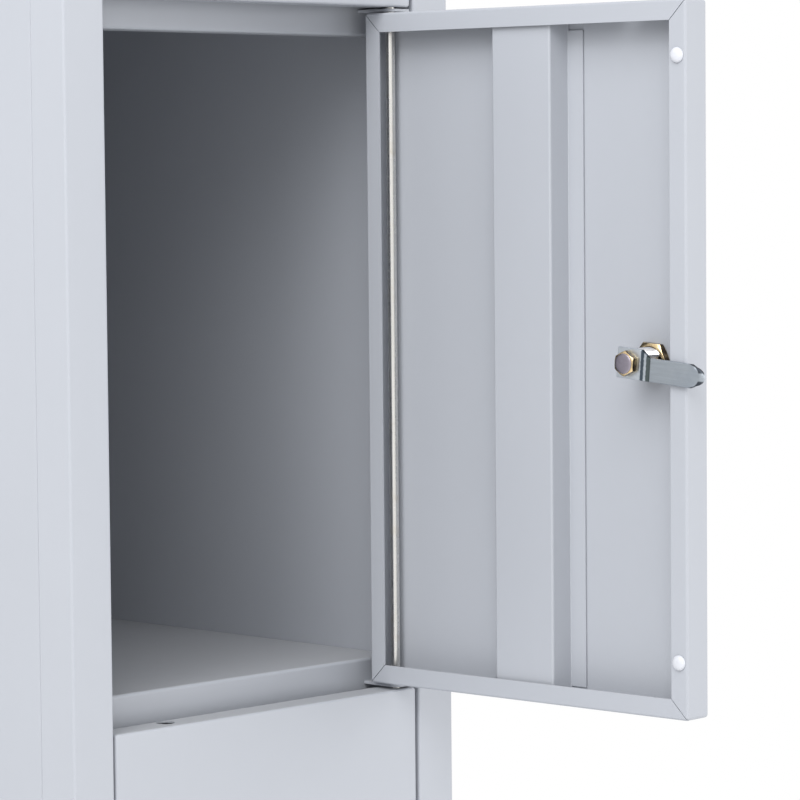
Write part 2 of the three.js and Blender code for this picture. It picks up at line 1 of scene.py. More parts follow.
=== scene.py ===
"""Builds the finished pieces of a four-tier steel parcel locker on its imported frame."""

import json
import math

import bmesh
import bpy
from mathutils import Matrix, Vector

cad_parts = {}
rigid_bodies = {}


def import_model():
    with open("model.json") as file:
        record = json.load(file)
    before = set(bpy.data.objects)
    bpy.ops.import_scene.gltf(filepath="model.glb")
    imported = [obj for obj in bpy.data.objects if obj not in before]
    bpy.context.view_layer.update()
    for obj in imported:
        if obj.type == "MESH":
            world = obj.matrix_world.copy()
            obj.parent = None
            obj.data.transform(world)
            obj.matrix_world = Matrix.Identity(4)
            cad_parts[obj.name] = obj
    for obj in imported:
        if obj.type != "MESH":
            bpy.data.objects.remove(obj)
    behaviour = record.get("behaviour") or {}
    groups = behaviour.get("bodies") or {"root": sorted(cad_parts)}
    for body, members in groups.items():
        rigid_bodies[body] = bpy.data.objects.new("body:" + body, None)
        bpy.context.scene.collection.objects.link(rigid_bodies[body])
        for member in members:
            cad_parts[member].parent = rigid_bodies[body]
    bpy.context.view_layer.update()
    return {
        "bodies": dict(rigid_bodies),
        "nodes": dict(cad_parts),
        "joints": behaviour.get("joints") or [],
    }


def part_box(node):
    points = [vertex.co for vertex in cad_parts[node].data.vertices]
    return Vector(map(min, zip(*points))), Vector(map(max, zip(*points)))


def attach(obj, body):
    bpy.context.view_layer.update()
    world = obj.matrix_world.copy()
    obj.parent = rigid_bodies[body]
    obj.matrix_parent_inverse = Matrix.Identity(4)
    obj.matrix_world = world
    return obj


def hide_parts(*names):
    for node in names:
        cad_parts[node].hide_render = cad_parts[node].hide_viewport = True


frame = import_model()

bl_info = {
    "name": "Parcel Locker",
    "version": (1, 0, 0),
    "blender": (4, 5, 0),
    "location": "3D View > Sidebar > Locker",
    "description": "Builds the finished pieces of a steel parcel locker on its frame",
    "category": "Object",
}

MM = 0.001
BODY_LOW, BODY_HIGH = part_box("roof_tray")
PAN_LOW, PAN_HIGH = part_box("door_1_panel")
DOOR_WIDTH = PAN_HIGH.x - PAN_LOW.x
DOOR_HEIGHT = PAN_HIGH.z - PAN_LOW.z
DOOR_THICKNESS = PAN_HIGH.y - PAN_LOW.y
HALF_WIDTH = BODY_HIGH.x
FRONT = BODY_LOW.y
JOINTS = {joint["name"]: joint for joint in frame["joints"]}
DOORS = sorted(body for body in frame["bodies"] if body.startswith("door_"))
HINGE = Vector(JOINTS["door_1_hinge"]["pos_m"])
PIVOT_INSET = PAN_HIGH.x - HINGE.x
PIVOT_DEPTH = HINGE.y - PAN_LOW.y
LOCK_AXIS = Vector(JOINTS["door_1_cam_turn"]["pos_m"])
LOCK_HEIGHT = LOCK_AXIS.z - PAN_LOW.z
SKIN_EDGE = 6 * MM
WELD = 1e-7


# ---------------------------------------------------------------- settings


def length(name, description, millimetres):
    """A size that is shown in the scene's units."""
    return bpy.props.FloatProperty(
        name=name,
        description=description,
        default=millimetres * MM,
        min=0.0,
        precision=5,
        subtype="DISTANCE",
        unit="LENGTH",
    )


def colour(name, description, value):
    """A paint or metal colour."""
    return bpy.props.FloatVectorProperty(
        name=name,
        description=description,
        default=value,
        min=0.0,
        max=1.0,
        size=3,
        subtype="COLOR",
    )


def share(name, description, value):
    """A plain number from nothing to full."""
    return bpy.props.FloatProperty(
        name=name,
        description=description,
        default=value,
        min=0.0,
        soft_max=1.0,
        subtype="FACTOR",
    )


def power(name, description, watts):
    """A lamp's power."""
    return bpy.props.FloatProperty(
        name=name,
        description=description,
        default=watts,
        min=0.0,
        unit="POWER",
    )


def angle(name, description, degrees):
    """A turn."""
    return bpy.props.FloatProperty(
        name=name,
        description=description,
        default=math.radians(degrees),
        subtype="ANGLE",
        unit="ROTATION",
    )


class LockerSheetSizes(bpy.types.PropertyGroup):
    """How the sheet steel is cut and folded."""

    sheet: length("Sheet", "Thickness of every folded sheet", 1)
    bend: length("Bend", "Inside radius of a fold", 0.6)
    corner: length("Door corner", "Outside radius of a door's four corners", 2.2)
    tray_corner: length("Tray corner", "Outside radius of a tray's corners", 1.8)
    edge: length("Edge", "How far paint rounds a cut edge", 0.22)
    mitre: length("Mitre gap", "Open seam where two door lips meet", 0.5)
    stop_width: length("Stop width", "Lock-side stop flange", 18)
    stop_depth: length("Stop depth", "Lock-side stop flange, behind the front", 24)
    return_width: length("Return", "Hinge-side stile's return", 18)
    rail_depth: length("Rail depth", "Rail faces, behind the front", 32)
    rail_return: length("Rail return", "Fold under a rail", 20)
    back_flange: length("Back flange", "Fold down at the back of a shelf", 15)
    head_return: length("Head return", "Fold at the top of the head rail", 12)
    plinth_flange: length("Plinth flange", "Flanges of the plinth frame", 30)
    rivet: length("Rivet", "Radius of the rivets in the back panel", 3.2)
    rivet_edge: length("Rivet edge", "Side of the cabinet to a row of rivets", 12)
    rivet_end: length("Rivet end", "End of the back panel to the first rivet", 40)
    rivet_rows: bpy.props.IntProperty(
        name="Rivet rows",
        description="Rivets up each side of the back panel",
        default=13,
        min=2,
    )


class LockerDoorSizes(bpy.types.PropertyGroup):
    """A door's lips, stiffener and small parts."""

    lip: length("Lip", "Width of the lips round the back of a door", 12.5)
    hat_near: length("Stiffener place", "Hinge edge to the raised face", 106.3)
    hat_width: length("Stiffener width", "Width of the raised face", 47.7)
    hat_slope: length("Stiffener slope", "How far each wall leans out", 2)
    hat_height: length("Stiffener height", "Door's face to the raised face", 17.8)
    hat_flange: length("Stiffener flange", "Welded flange beside each wall", 12.2)
    cut_top: length("Top cut", "Flange end to the door's top edge", 15.5)
    cut_bottom: length("Bottom cut", "Flange end to the door's bottom edge", 10)
    hang_hole: length("Hang hole", "Radius of the hole in the top wall", 6)
    hang_edge: length("Hang hole place", "Free edge to the hole", 52.4)
    hang_depth: length("Hang hole depth", "Door's face to the hole", 13.5)
    buffer: length("Buffer", "Radius of a buffer", 4.75)
    buffer_edge: length("Buffer place", "Free edge to a buffer", 6.3)
    buffer_low: length("Lower buffer", "Bottom edge to the lower buffer", 35.6)
    buffer_high: length("Upper buffer", "Top edge to the upper buffer", 33.9)
    rod: length("Rod", "Radius of the hinge rod", 3)
    lug_nose: length("Lug nose", "Radius of a lug round the rod", 6.2)


class LockerLockSizes(bpy.types.PropertyGroup):
    """The cam lock's sizes, along and across its axis."""

    head: length("Head", "Radius of the head", 13)
    head_depth: length("Head depth", "Thickness of the head", 2.5)
    barrel: length("Barrel", "Radius of the threaded barrel", 9.2)
    barrel_flats: length("Barrel flats", "Across the barrel's flats", 16)
    seam: length("Seam", "Paint and play between the lock and the door", 0.3)
    barrel_end: length("Barrel end", "Door's face to the end of the barrel", 24.7)
    pitch: length("Thread pitch", "Pitch of the barrel's thread", 1)
    lock_nut: length("Lock nut", "Across the lock nut's flats", 23)
    lock_nut_turn: angle("Lock nut turn", "Where the nut stopped when it was tightened", 25)
    plug: length("Plug", "Radius of the turning plug", 6)
    keyway: length("Keyway", "Length of the keyway", 8.4)
    keyway_width: length("Keyway width", "Width of the keyway", 1.6)
    stud: length("Stud", "Radius of the stud through the cam", 4.4)
    stud_cap: length("Stud cap", "Radius of the stud's spread end", 6.3)
    cam_nut: length("Cam nut", "Across the cam nut's flats", 14)
    cam_sheet: length("Cam thickness", "Thickness of the cam", 2.5)
    cam_reach: length("Cam reach", "Lock axis to the cam's tip", 55.5)
    blade_width: length("Blade width", "Width of the cam's blade", 14.6)
    blade_drop: length("Blade drop", "Lock axis to the blade's middle line", 2.6)
    blade_face: length("Blade face", "Door's face to the near side of the blade", 22.3)
    base_face: length("Base face", "Door's face to the near side of the base", 25.2)
    base_height: length("Base height", "Height of the cam's square base", 19)
    base_tail: length("Base tail", "Lock axis to the base's back edge", 8.5)
    joggle: length("Joggle", "Lock axis to the start of the joggle", 9.6)
    joggle_length: length("Joggle length", "Length of the joggle", 4)
    tip_round: length("Tip", "How far the tip's rounding reaches", 6)
    tip_bevel: length("Tip bevel", "Clipped corners beside the tip", 3)
    tip_slope: length("Tip slope", "Width of the slope worked round the tip", 2.8)
    tip_fall: length("Tip fall", "How far the slope falls at the tip", 1.1)


class LockerColours(bpy.types.PropertyGroup):
    """Paint and metal colours."""

    body: colour("Body paint", "Light grey powder coat", (0.405, 0.424, 0.464))
    plinth: colour("Plinth paint", "Dark grey powder coat", (0.085, 0.092, 0.1))
    dust: colour("Dust", "What settles on level faces", (0.5, 0.48, 0.44))
    zinc: colour("Zinc", "Plated hinge rod", (0.76, 0.75, 0.72))
    cam: colour("Cam steel", "Plated cam", (0.42, 0.46, 0.5))
    brass: colour("Brass", "Nuts of the lock", (0.8, 0.62, 0.36))
    chrome: colour("Chrome", "Lock head and barrel", (0.78, 0.78, 0.79))
    bronze: colour("Dark bronze", "Turning plug", (0.34, 0.31, 0.36))
    nylon: colour("Nylon", "Buffers", (0.6, 0.615, 0.66))
    floor: colour("Floor", "Pale studio floor", (0.84, 0.84, 0.84))
    wear: share("Wear", "How much handling shows in the paint", 0.5)


class LockerStageSettings(bpy.types.PropertyGroup):
    """Camera, floor and lights."""

    place: bpy.props.FloatVectorProperty(
        name="Camera place",
        description="Where the camera stands",
        default=(-1.54333, -1.86584, 1.29296),
        subtype="TRANSLATION",
        unit="LENGTH",
    )
    heading: angle("Heading", "Turn of the camera from the back towards the right", 45.802)
    dip: angle("Dip", "How far the camera looks down", 3.795)
    roll: angle("Roll", "Turn of the camera about its own line of sight", -0.508)
    lens: bpy.props.FloatProperty(
        name="Lens",
        description="Focal length in millimetres",
        default=159.22,
        min=1.0,
    )
    sky: share("Surround", "Strength of the even white surround", 1.0)
    key: power("Key light", "Large soft light in front and above", 47.0)
    side: power("Side light", "Soft light on the hinge side", 27.0)
    fill: power("Fill light", "Low soft light on the lock side", 22.0)
    floor_size: length("Floor size", "Radius of the round floor", 3100)


# ---------------------------------------------------------------- drawing in mesh


def left_of(direction):
    """The direction turned a quarter to the left."""
    return Vector((-direction.y, direction.x))


def folded(points, thickness, bend, steps=4):
    """The closed outline of a folded sheet: its outer corners in order, with the metal on their left."""
    path = [Vector(point) for point in points]
    stations = []
    for index, point in enumerate(path):
        before = (point - path[index - 1]).normalized() if index else None
        after = (path[index + 1] - point).normalized() if index + 1 < len(path) else None
        if before is None or after is None:
            stations.append((point, left_of(after or before)))
            continue
        turn = math.atan2(before.x * after.y - before.y * after.x, before.dot(after))
        radius = bend + thickness if turn > 0 else bend
        start = point - before * radius * math.tan(abs(turn) / 2)
        centre = start + left_of(before) * math.copysign(radius, turn)
        for step in range(steps + 1):
            normal = left_of(before)
            normal.rotate(Matrix.Rotation(turn * step / steps, 2))
            stations.append((centre - normal * math.copysign(radius, turn), normal))
    outer = [point for point, normal in stations]
    inner = [point + normal * thickness for point, normal in stations]
    return outer + inner[::-1]


def arc(x, y, radius, start, steps):
    """Points round a quarter turn that starts at an angle in degrees."""
    points = []
    for step in range(steps + 1):
        turn = math.radians(start + 90 * step / steps)
        points.append((x + radius * math.cos(turn), y + radius * math.sin(turn)))
    return points


def rim(points, thickness, bend):
    """A folded outline that starts at the end of the sheet, ready to sweep round a rectangle."""
    outline = folded(points, thickness, bend)
    half = len(outline) // 2
    return outline[half:] + outline[:half]


def join_rings(bm, rings, closed):
    """Faces between one ring of corners and the next."""
    pairs = list(zip(rings, rings[1:]))
    if closed:
        pairs.append((rings[-1], rings[0]))
    for ring, following in pairs:
        for index in range(len(ring)):
            after = (index + 1) % len(ring)
            bm.faces.new((ring[index], ring[after], following[after], following[index]))


def extrude(bm, outline, low, high, place):
    """A closed outline drawn out from low to high; place turns (across, up, along) into a point."""
    rings = [[bm.verts.new(place(u, v, end)) for u, v in outline] for end in (low, high)]
    join_rings(bm, rings, False)
    bm.faces.new(rings[0])
    bm.faces.new(rings[1][::-1])


def upright(u, v, along):
    """Plan outlines stand up."""
    return (u, v, along)


def crosswise(u, v, along):
    """Side outlines run across the cabinet."""
    return (along, u, v)


def inward(u, v, along):
    """Front outlines run back into the cabinet."""
    return (u, along, v)


def frame_round(bm, profile, size, radius, place, closed=False, steps=5):
    """Sweeps a profile of (inset, depth) pairs round a rectangle with rounded corners."""
    rings = []
    for inset, depth in profile:
        rounding = max(radius - inset, 0.0)
        ring = []
        for corner in range(4):
            across = 1 if corner in (0, 3) else -1
            up = 1 if corner in (0, 1) else -1
            reach = inset + rounding
            x, y = across * (size[0] / 2 - reach), up * (size[1] / 2 - reach)
            for spot in arc(x, y, rounding, 90 * corner, steps):
                ring.append(bm.verts.new(place(*spot, depth)))
        rings.append(ring)
    join_rings(bm, rings, closed)
    if not closed:
        bm.faces.new(rings[0])
        bm.faces.new(rings[-1][::-1])


def lathe(bm, profile, sides=48, closed=False):
    """Turns a profile of (radius, depth) pairs about the lock's axis, which runs along Y."""
    rings = []
    for radius, depth in profile:
        ring = []
        for side in range(sides):
            turn = math.tau * side / sides
            ring.append(bm.verts.new((radius * math.cos(turn), depth, radius * math.sin(turn))))
        rings.append(ring)
    join_rings(bm, rings, closed)


def thread(bm, radius, flats, low, high, pitch, sides=48, rounds=6):
    """A threaded bar along Y with two flats."""
    count = int((high - low) / pitch * rounds)
    cut, relief = 0.55 * pitch, 0.15 * pitch
    rings = []
    for station in range(count + 1):
        depth = low + (high - low) * station / count
        fade = min(1.0, (high - depth) / pitch, (depth - low) / pitch)
        ring = []
        for side in range(sides):
            turn = math.tau * side / sides
            phase = (depth / pitch - side / sides) % 1.0
            groove = cut * (1.0 - abs(2.0 * phase - 1.0)) * fade + relief * (1 - fade)
            reach = radius - groove
            across = max(-flats / 2, min(flats / 2, reach * math.cos(turn)))
            ring.append(bm.verts.new((across, depth, reach * math.sin(turn))))
        rings.append(ring)
    join_rings(bm, rings, False)
    bm.faces.new(rings[0])
    bm.faces.new(rings[-1][::-1])


def hex_nut(bm, across_flats, bore, low, high, sides=72):
    """A hexagonal nut along Y with chamfered corners and a countersunk bore."""
    flat = across_flats / 2
    turned = 0.96 * flat
    slope = math.tan(math.radians(30))
    sink = 0.35 * MM
    stations = [(bore, low + sink, 0), (bore + sink, low, 0), (turned, low, 0), (None, low, 1)]
    stations += [(None, high, -1), (turned, high, 0), (bore + sink, high, 0), (bore, high - sink, 0)]
    rings = []
    for radius, depth, side_of in stations:
        ring = []
        for side in range(sides):
            turn = math.tau * side / sides
            corner = flat / math.cos((turn % (math.pi / 3)) - math.pi / 6)
            reach = corner if radius is None else radius
            drop = (corner - turned) * slope * side_of
            ring.append(bm.verts.new((reach * math.sin(turn), depth + drop, reach * math.cos(turn))))
        rings.append(ring)
    join_rings(bm, rings, True)


def block(bm, low, high, matrix=None):
    """A cutting block between two corners, turned by a matrix."""
    spread = Vector(high) - Vector(low)
    middle = (Vector(high) + Vector(low)) / 2
    shape = Matrix.Translation(middle) @ Matrix.Diagonal((*spread, 1.0))
    bmesh.ops.create_cube(bm, size=1.0, matrix=(matrix or Matrix.Identity(4)) @ shape)


def drill(bm, radius, low, high, matrix, sides=40):
    """A cutting bar along its own Z, turned and placed by a matrix."""
    middle = Matrix.Translation((0, 0, (low + high) / 2))
    bmesh.ops.create_cone(
        bm,
        cap_ends=True,
        segments=sides,
        radius1=radius,
        radius2=radius,
        depth=high - low,
        matrix=matrix @ middle,
    )


def shaded(mesh, sharp=34):
    """Welds a mesh, turns its faces outward and keeps its real edges crisp."""
    bm = bmesh.new()
    bm.from_mesh(mesh)
    bmesh.ops.remove_doubles(bm, verts=bm.verts, dist=WELD)
    bmesh.ops.dissolve_degenerate(bm, edges=bm.edges, dist=1e-8)
    bmesh.ops.recalc_face_normals(bm, faces=bm.faces)
    for face in bm.faces:
        face.smooth = True
    for edge in bm.edges:
        edge.smooth = edge.calc_face_angle(0.0) < math.radians(sharp)
    bm.to_mesh(mesh)
    bm.free()
    return mesh


def mesh_of(name, bm, cutters=None, sharp=34):
    """A finished mesh, with the cutters taken out of it."""
    mesh = bpy.data.meshes.new(name)
    bmesh.ops.remove_doubles(bm, verts=bm.verts, dist=WELD)
    bmesh.ops.recalc_face_normals(bm, faces=bm.faces)
    bm.to_mesh(mesh)
    bm.free()
    if cutters is not None:
        tool_mesh = bpy.data.meshes.new("cutters")
        bmesh.ops.recalc_face_normals(cutters, faces=cutters.faces)
        cutters.to_mesh(tool_mesh)
        cutters.free()
        work = bpy.data.objects.new("work", mesh)
        tool = bpy.data.objects.new("tool", tool_mesh)
        for part in (work, tool):
            bpy.context.scene.collection.objects.link(part)
        cut = work.modifiers.new("cut", "BOOLEAN")
        cut.operation = "DIFFERENCE"
        cut.solver = "EXACT"
        cut.use_self = True
        cut.object = tool
        depsgraph = bpy.context.evaluated_depsgraph_get()
        carved = bpy.data.meshes.new_from_object(work.evaluated_get(depsgraph))
        bpy.data.objects.remove(work)
        bpy.data.objects.remove(tool)
        bpy.data.meshes.remove(tool_mesh)
        bpy.data.meshes.remove(mesh)
        if not carved.polygons:
            raise RuntimeError(f"{name}: nothing is left after cutting")
        carved.name = name
        mesh = carved
    return shaded(mesh, sharp)


def stand(node, mesh, body, slot, look, matrix=None, edge=0.0, segments=2):
    """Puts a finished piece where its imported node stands."""
    piece = bpy.data.objects.new(f"{node}_made", mesh)
    bpy.context.scene.collection.objects.link(piece)
    if not mesh.materials:
        mesh.materials.append(finish(look))
    piece.matrix_world = matrix or Matrix.Identity(4)
    if edge:
        soft = piece.modifiers.new("edges", "BEVEL")
        soft.width = edge
        soft.segments = segments
        soft.limit_method = "ANGLE"
        soft.angle_limit = math.radians(40)
        soft.miter_outer = "MITER_ARC"
    flat = piece.modifiers.new("normals", "WEIGHTED_NORMAL")
    flat.keep_sharp = True
    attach(piece, body)
    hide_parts(node)


def painted(node, mesh, edge):
    """Puts a piece of the cabinet, in the body's paint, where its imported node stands."""
    stand(node, mesh, "cabinet", "painted_steel", "body paint", edge=edge)


def fold_up(node, path, ends, place, share_of_edge=1.0, bend=1.0, steps=4, cutters=None):
    """Folds a sheet piece of the cabinet, draws it out between two ends and paints it."""
    sizes = bpy.context.scene.locker_sheet
    bm = bmesh.new()
    outline = folded(path, sizes.sheet, bend * sizes.bend, steps)
    extrude(bm, outline, *ends, place)
    painted(node, mesh_of(f"{node}_mesh", bm, cutters), share_of_edge * sizes.edge)


def on_doors(part, mesh, slot, look, matrix_of, edge=0.0, segments=2, turning=False):
    """Puts the same piece on every door, or on every lock's turning body."""
    for door in DOORS:
        body = JOINTS[f"{door}_cam_turn"]["child"] if turning else door
        stand(f"{door}_{part}", mesh, body, slot, look, matrix_of(door), edge, segments)


# ---------------------------------------------------------------- finishes


class Wire:
    """One shader socket. Sums written with it add Math nodes."""

    def __init__(self, shader, socket):
        self.shader = shader
        self.socket = socket

    def _sum(self, operation, first, second):
        return self.shader.node("ShaderNodeMath", {"operation": operation}, {0: first, 1: second})

    def __add__(self, other):
        return self._sum("ADD", self, other)

    def __radd__(self, other):
        return self._sum("ADD", other, self)

    def __sub__(self, other):
        return self._sum("SUBTRACT", self, other)

    def __rsub__(self, other):
        return self._sum("SUBTRACT", other, self)

    def __mul__(self, other):
        return self._sum("MULTIPLY", self, other)

    def __rmul__(self, other):
        return self._sum("MULTIPLY", other, self)


class Finish:
    """A material under construction."""

    def __init__(self, name):
        self.material = bpy.data.materials.new(name)
        self.material.use_nodes = True
        self.tree = self.material.node_tree
        self.tree.nodes.clear()

    def node(self, kind, settings=None, sockets=None, out=0):
        """Adds a node, sets it up, joins its sockets and gives back one output."""
        made = self.tree.nodes.new(kind)
        for key, value in (settings or {}).items():
            setattr(made, key, value)
        for key, value in (sockets or {}).items():
            if isinstance(value, Wire):
                self.tree.links.new(value.socket, made.inputs[key])
            elif made.inputs[key].type == "RGBA" and len(value) == 3:
                made.inputs[key].default_value = (*value, 1.0)
            else:
                made.inputs[key].default_value = value
        return Wire(self, made.outputs[out])

    def vector(self, operation, first, second):
        """Vector sums."""
        return self.node("ShaderNodeVectorMath", {"operation": operation}, {0: first, 1: second})

    def blend(self, factor, first, second):
        """Mixes two colours."""
        settings = {"data_type": "RGBA", "blend_type": "MIX", "clamp_factor": True}
        return self.node("ShaderNodeMix", settings, {0: factor, 6: first, 7: second}, 2)

    def place(self, stretch=(1.0, 1.0, 1.0)):
        """Where a point lies on its own piece, shifted from piece to piece."""
        spot = self.node("ShaderNodeTexCoord", out="Object")
        chance = self.node("ShaderNodeObjectInfo", out="Random")
        shifted = self.vector("ADD", spot, self.vector("MULTIPLY", chance, (3.1, 5.7, 7.3)))
        return self.vector("MULTIPLY", shifted, stretch)

    def noise(self, scale, detail=2.0, rough=0.5, stretch=(1.0, 1.0, 1.0)):
        """Cloudy variation; the scale is in features to the metre."""
        sockets = {"Vector": self.place(stretch), "Scale": scale, "Detail": detail, "Roughness": rough}
        return self.node("ShaderNodeTexNoise", {"noise_dimensions": "3D"}, sockets)

    def step(self, value, low, high):
        """Rises smoothly from 0 at low to 1 at high."""
        sockets = {"Value": value, "From Min": low, "From Max": high, "To Min": 0.0, "To Max": 1.0}
        return self.node("ShaderNodeMapRange", {"interpolation_type": "SMOOTHSTEP"}, sockets)

    def band(self, value, start, full, fading, end):
        """Rises smoothly from start to full, and falls again from fading to end."""
        return self.step(value, start, full) * (1.0 - self.step(value, fading, end))

    def part(self, vector, index):
        """A vector's X, Y or Z."""
        return self.node("ShaderNodeSeparateXYZ", None, {0: vector}, index)

    def level(self):
        """How much a face looks up."""
        return self.part(self.node("ShaderNodeNewGeometry", out="Normal"), 2)

    def relief(self, height):
        """A bump whose height is in millimetres."""
        return self.node("ShaderNodeBump", None, {"Strength": 1.0, "Distance": MM, "Height": height})

    def close(self, settings, sockets):
        """Joins the surface to the material and gives the material back."""
        surface = self.node("ShaderNodeBsdfPrincipled", None, {**settings, **sockets})
        output = self.tree.nodes.new("ShaderNodeOutputMaterial")
        self.tree.links.new(surface.socket, output.inputs["Surface"])
        return self.material


def tinted(value, amount):
    """A colour made lighter or darker."""
    return tuple(min(1.0, part * amount) for part in value)


def powder_coat(name, base, dust, wear, gloss):
    """Satin powder coat: orange peel, faint clouding, handling marks and settled dust."""
    coat = Finish(name)
    clouds = coat.noise(5.0, 3.0, 0.55)
    mottle = coat.noise(60.0, 3.0, 0.6)
    peel = coat.noise(850.0, 2.0, 0.5)
    pinholes = coat.step(coat.noise(2600.0, 1.0, 0.5), 0.7, 0.8)
    swell = coat.noise(7.0, 1.0, 0.4)
    rubbed = coat.step(coat.noise(14.0, 5.0, 0.7), 0.6, 0.78)
    streaks = coat.noise(1.0, 4.0, 0.65, (900.0, 900.0, 24.0))
    scratches = coat.step(streaks, 0.72, 0.8) * coat.step(coat.noise(9.0, 2.0), 0.55, 0.7)
    settled = coat.step(coat.level(), 0.75, 1.0) * (0.35 + 0.4 * coat.noise(5.0, 6.0, 0.7))
    tone = coat.blend(clouds, tinted(base, 0.965), tinted(base, 1.03))
    tone = coat.blend(mottle * 0.22, tone, tinted(base, 0.93))
    tone = coat.blend(pinholes * 0.16, tone, tinted(base, 0.7))
    tone = coat.blend(rubbed * (0.12 * wear), tone, tinted(base, 1.12))
    tone = coat.blend(scratches * (0.22 * wear), tone, tinted(base, 0.72))
    tone = coat.blend(settled * 0.32, tone, dust)
    rough = gloss - 0.03 + clouds * 0.05 + mottle * 0.05
    rough = rough - rubbed * (0.1 * wear) + settled * 0.22 + scratches * 0.08
    height = peel * 0.006 + swell * 0.22 - pinholes * 0.003 - scratches * (0.006 * wear)
    sockets = {"Base Color": tone, "Roughness": rough, "Normal": coat.relief(height)}
    return coat.close({"Metallic": 0.0, "IOR": 1.46, "Coat IOR": 1.5}, sockets)


def painted_cam_shade(metal, tone):
    """The cam's base is rubbed bright; painted shade darkens the two bends of its joggle, and painted
    reflections darken the clipped corners beside its tip.
    """
    sizes = bpy.context.scene.locker_lock
    spot = metal.node("ShaderNodeTexCoord", out="Object")
    along = metal.part(spot, 0) * (-1 / MM)
    aside = metal.part(spot, 2) * (1 / MM) + sizes.blade_drop / MM
    bend = sizes.joggle / MM
    near = along + (metal.noise(700.0, 2.0) - 0.5) * 0.7
    # painted shade: first and second are dark bands across the two bends of the joggle
    first = metal.band(near, bend - 0.4, bend + 0.2, bend + 1.3, bend + 1.9)
    second = metal.band(near, bend + 2.6, bend + 3.0, bend + 5.0, bend + 5.8)
    centre, half_length = sizes.cam_reach / MM - 12.5, 9.5
    half_width = sizes.blade_width / (2 * MM)
    past, beside = (along - centre) * (1 / half_length), aside * (1 / half_width)
    bright_oval = past * past + beside * beside
    # painted reflection: corners picks out the clipped corners beside the tip, which are darkened
    corners = metal.step(bright_oval, 0.94, 1.06) * metal.step(along, centre, centre + 2.0)
    corners = corners * metal.step(aside * aside, 3.0, 9.0)
    tone = metal.blend(1.0 - metal.step(near, bend - 1.5, bend), tone, (0.62, 0.66, 0.7))
    # the bands get painted shade, and the tip's corners get painted reflection
    tone = metal.blend(first * 0.9, tone, (0.02, 0.035, 0.05))
    tone = metal.blend(second * 0.86, tone, (0.025, 0.04, 0.035))
    return metal.blend(corners * 0.9, tone, (0.02, 0.025, 0.035))


def painted_flank_shade(metal, tone):
    """Painted shade: a nut's flats are painted darker than its turned ends."""
    facing = metal.part(metal.node("ShaderNodeTexCoord", out="Normal"), 1)
    # painted shade on the flats, chosen by which way each face points
    flats = 1.0 - metal.step(facing * facing, 0.02, 0.2)
    cloud = metal.step(metal.noise(260.0, 3.0), 0.35, 0.6)
    return metal.blend(flats * (0.72 + 0.24 * cloud), tone, (0.035, 0.022, 0.014))


def plated(name, base, rough, stretch, warm=None, grain=0.004, marks=None):
    """Plated or turned metal with marks drawn out along one way."""
    metal = Finish(name)
    drawn = metal.noise(1.0, 4.0, 0.6, stretch)
    clouds = metal.noise(90.0, 3.0, 0.6)
    stains = metal.step(metal.noise(45.0, 5.0, 0.7), 0.5, 0.75)
    tone = metal.blend(drawn, tinted(base, 0.78), tinted(base, 1.14))
    tone = metal.blend(stains * 0.35, tone, warm or tinted(base, 0.7))
    # marks adds painted shade and painted reflection to the tone: dark bends and tip corners on the cam,
    # dark flats on the nuts
    if marks:
        tone = marks(metal, tone)
    shine = rough - 0.05 + drawn * 0.12 + clouds * 0.06 + stains * 0.1
    height = drawn * grain + clouds * grain
    sockets = {"Base Color": tone, "Roughness": shine, "Normal": metal.relief(height)}
    return metal.close({"Metallic": 1.0}, sockets)


def moulded(name, base):
    """White nylon: slightly waxy, with a fine sparked surface."""
    plastic = Finish(name)
    grain = plastic.noise(1800.0, 2.0)
    clouds = plastic.noise(160.0, 2.0)
    tone = plastic.blend(clouds, tinted(base, 0.94), tinted(base, 1.04))
    sockets = {
        "Base Color": tone,
        "Roughness": 0.34 + clouds * 0.12,
        "Normal": plastic.relief(grain * 0.006),
    }
    return plastic.close({"Metallic": 0.0, "IOR": 1.53}, sockets)


def studio_floor(name, base):
    """Pale matt floor with faint clouding and a fine grain."""
    ground = Finish(name)
    clouds = ground.noise(1.4, 3.0)
    grain = ground.noise(160.0, 3.0)
    tone = ground.blend(clouds, tinted(base, 0.985), tinted(base, 1.01))
    sockets = {
        "Base Color": tone,
        "Roughness": 0.7 + clouds * 0.1,
        "Normal": ground.relief(grain * 0.05),
    }
    return ground.close({"Metallic": 0.0}, sockets)


def finish(name):
    """One of the locker's finishes, made when it is first asked for."""
    made = f"{name} finish"
    found = bpy.data.materials.get(made)
    if found:
        return found
    tones = bpy.context.scene.locker_colours
    if name in ("body paint", "plinth paint"):
        base, gloss = (tones.body, 0.42) if name == "body paint" else (tones.plinth, 0.5)
        return powder_coat(made, tuple(base), tuple(tones.dust), tones.wear, gloss)
    if name == "zinc":
        return plated(made, tuple(tones.zinc), 0.24, (700.0, 700.0, 14.0), (0.42, 0.33, 0.2))
    if name == "cam steel":
        drawn = (60.0, 900.0, 900.0)
        # the cam gets painted shade in its bends and painted reflection on its tip corners
        return plated(made, tuple(tones.cam), 0.3, drawn, (0.3, 0.34, 0.4), marks=painted_cam_shade)
    if name == "brass":
        drawn = (500.0, 60.0, 500.0)
        # the nuts get painted shade on their flats
        return plated(made, tuple(tones.brass), 0.16, drawn, (0.5, 0.3, 0.12), marks=painted_flank_shade)
    if name == "chrome":
        return plated(made, tuple(tones.chrome), 0.14, (300.0, 300.0, 300.0), None, 0.001)
    if name == "dark bronze":
        return plated(made, tuple(tones.bronze), 0.32, (600.0, 60.0, 600.0), (0.2, 0.12, 0.08))
    if name == "nylon":
        return moulded(made, tuple(tones.nylon))
    if name == "floor":
        return studio_floor(made, tuple(tones.floor))
    raise RuntimeError(f"there is no finish named {name}")


# ---------------------------------------------------------------- places


def along_x(along):
    """A door's own X, from a distance along it from its hinge edge."""
    return PIVOT_INSET - along


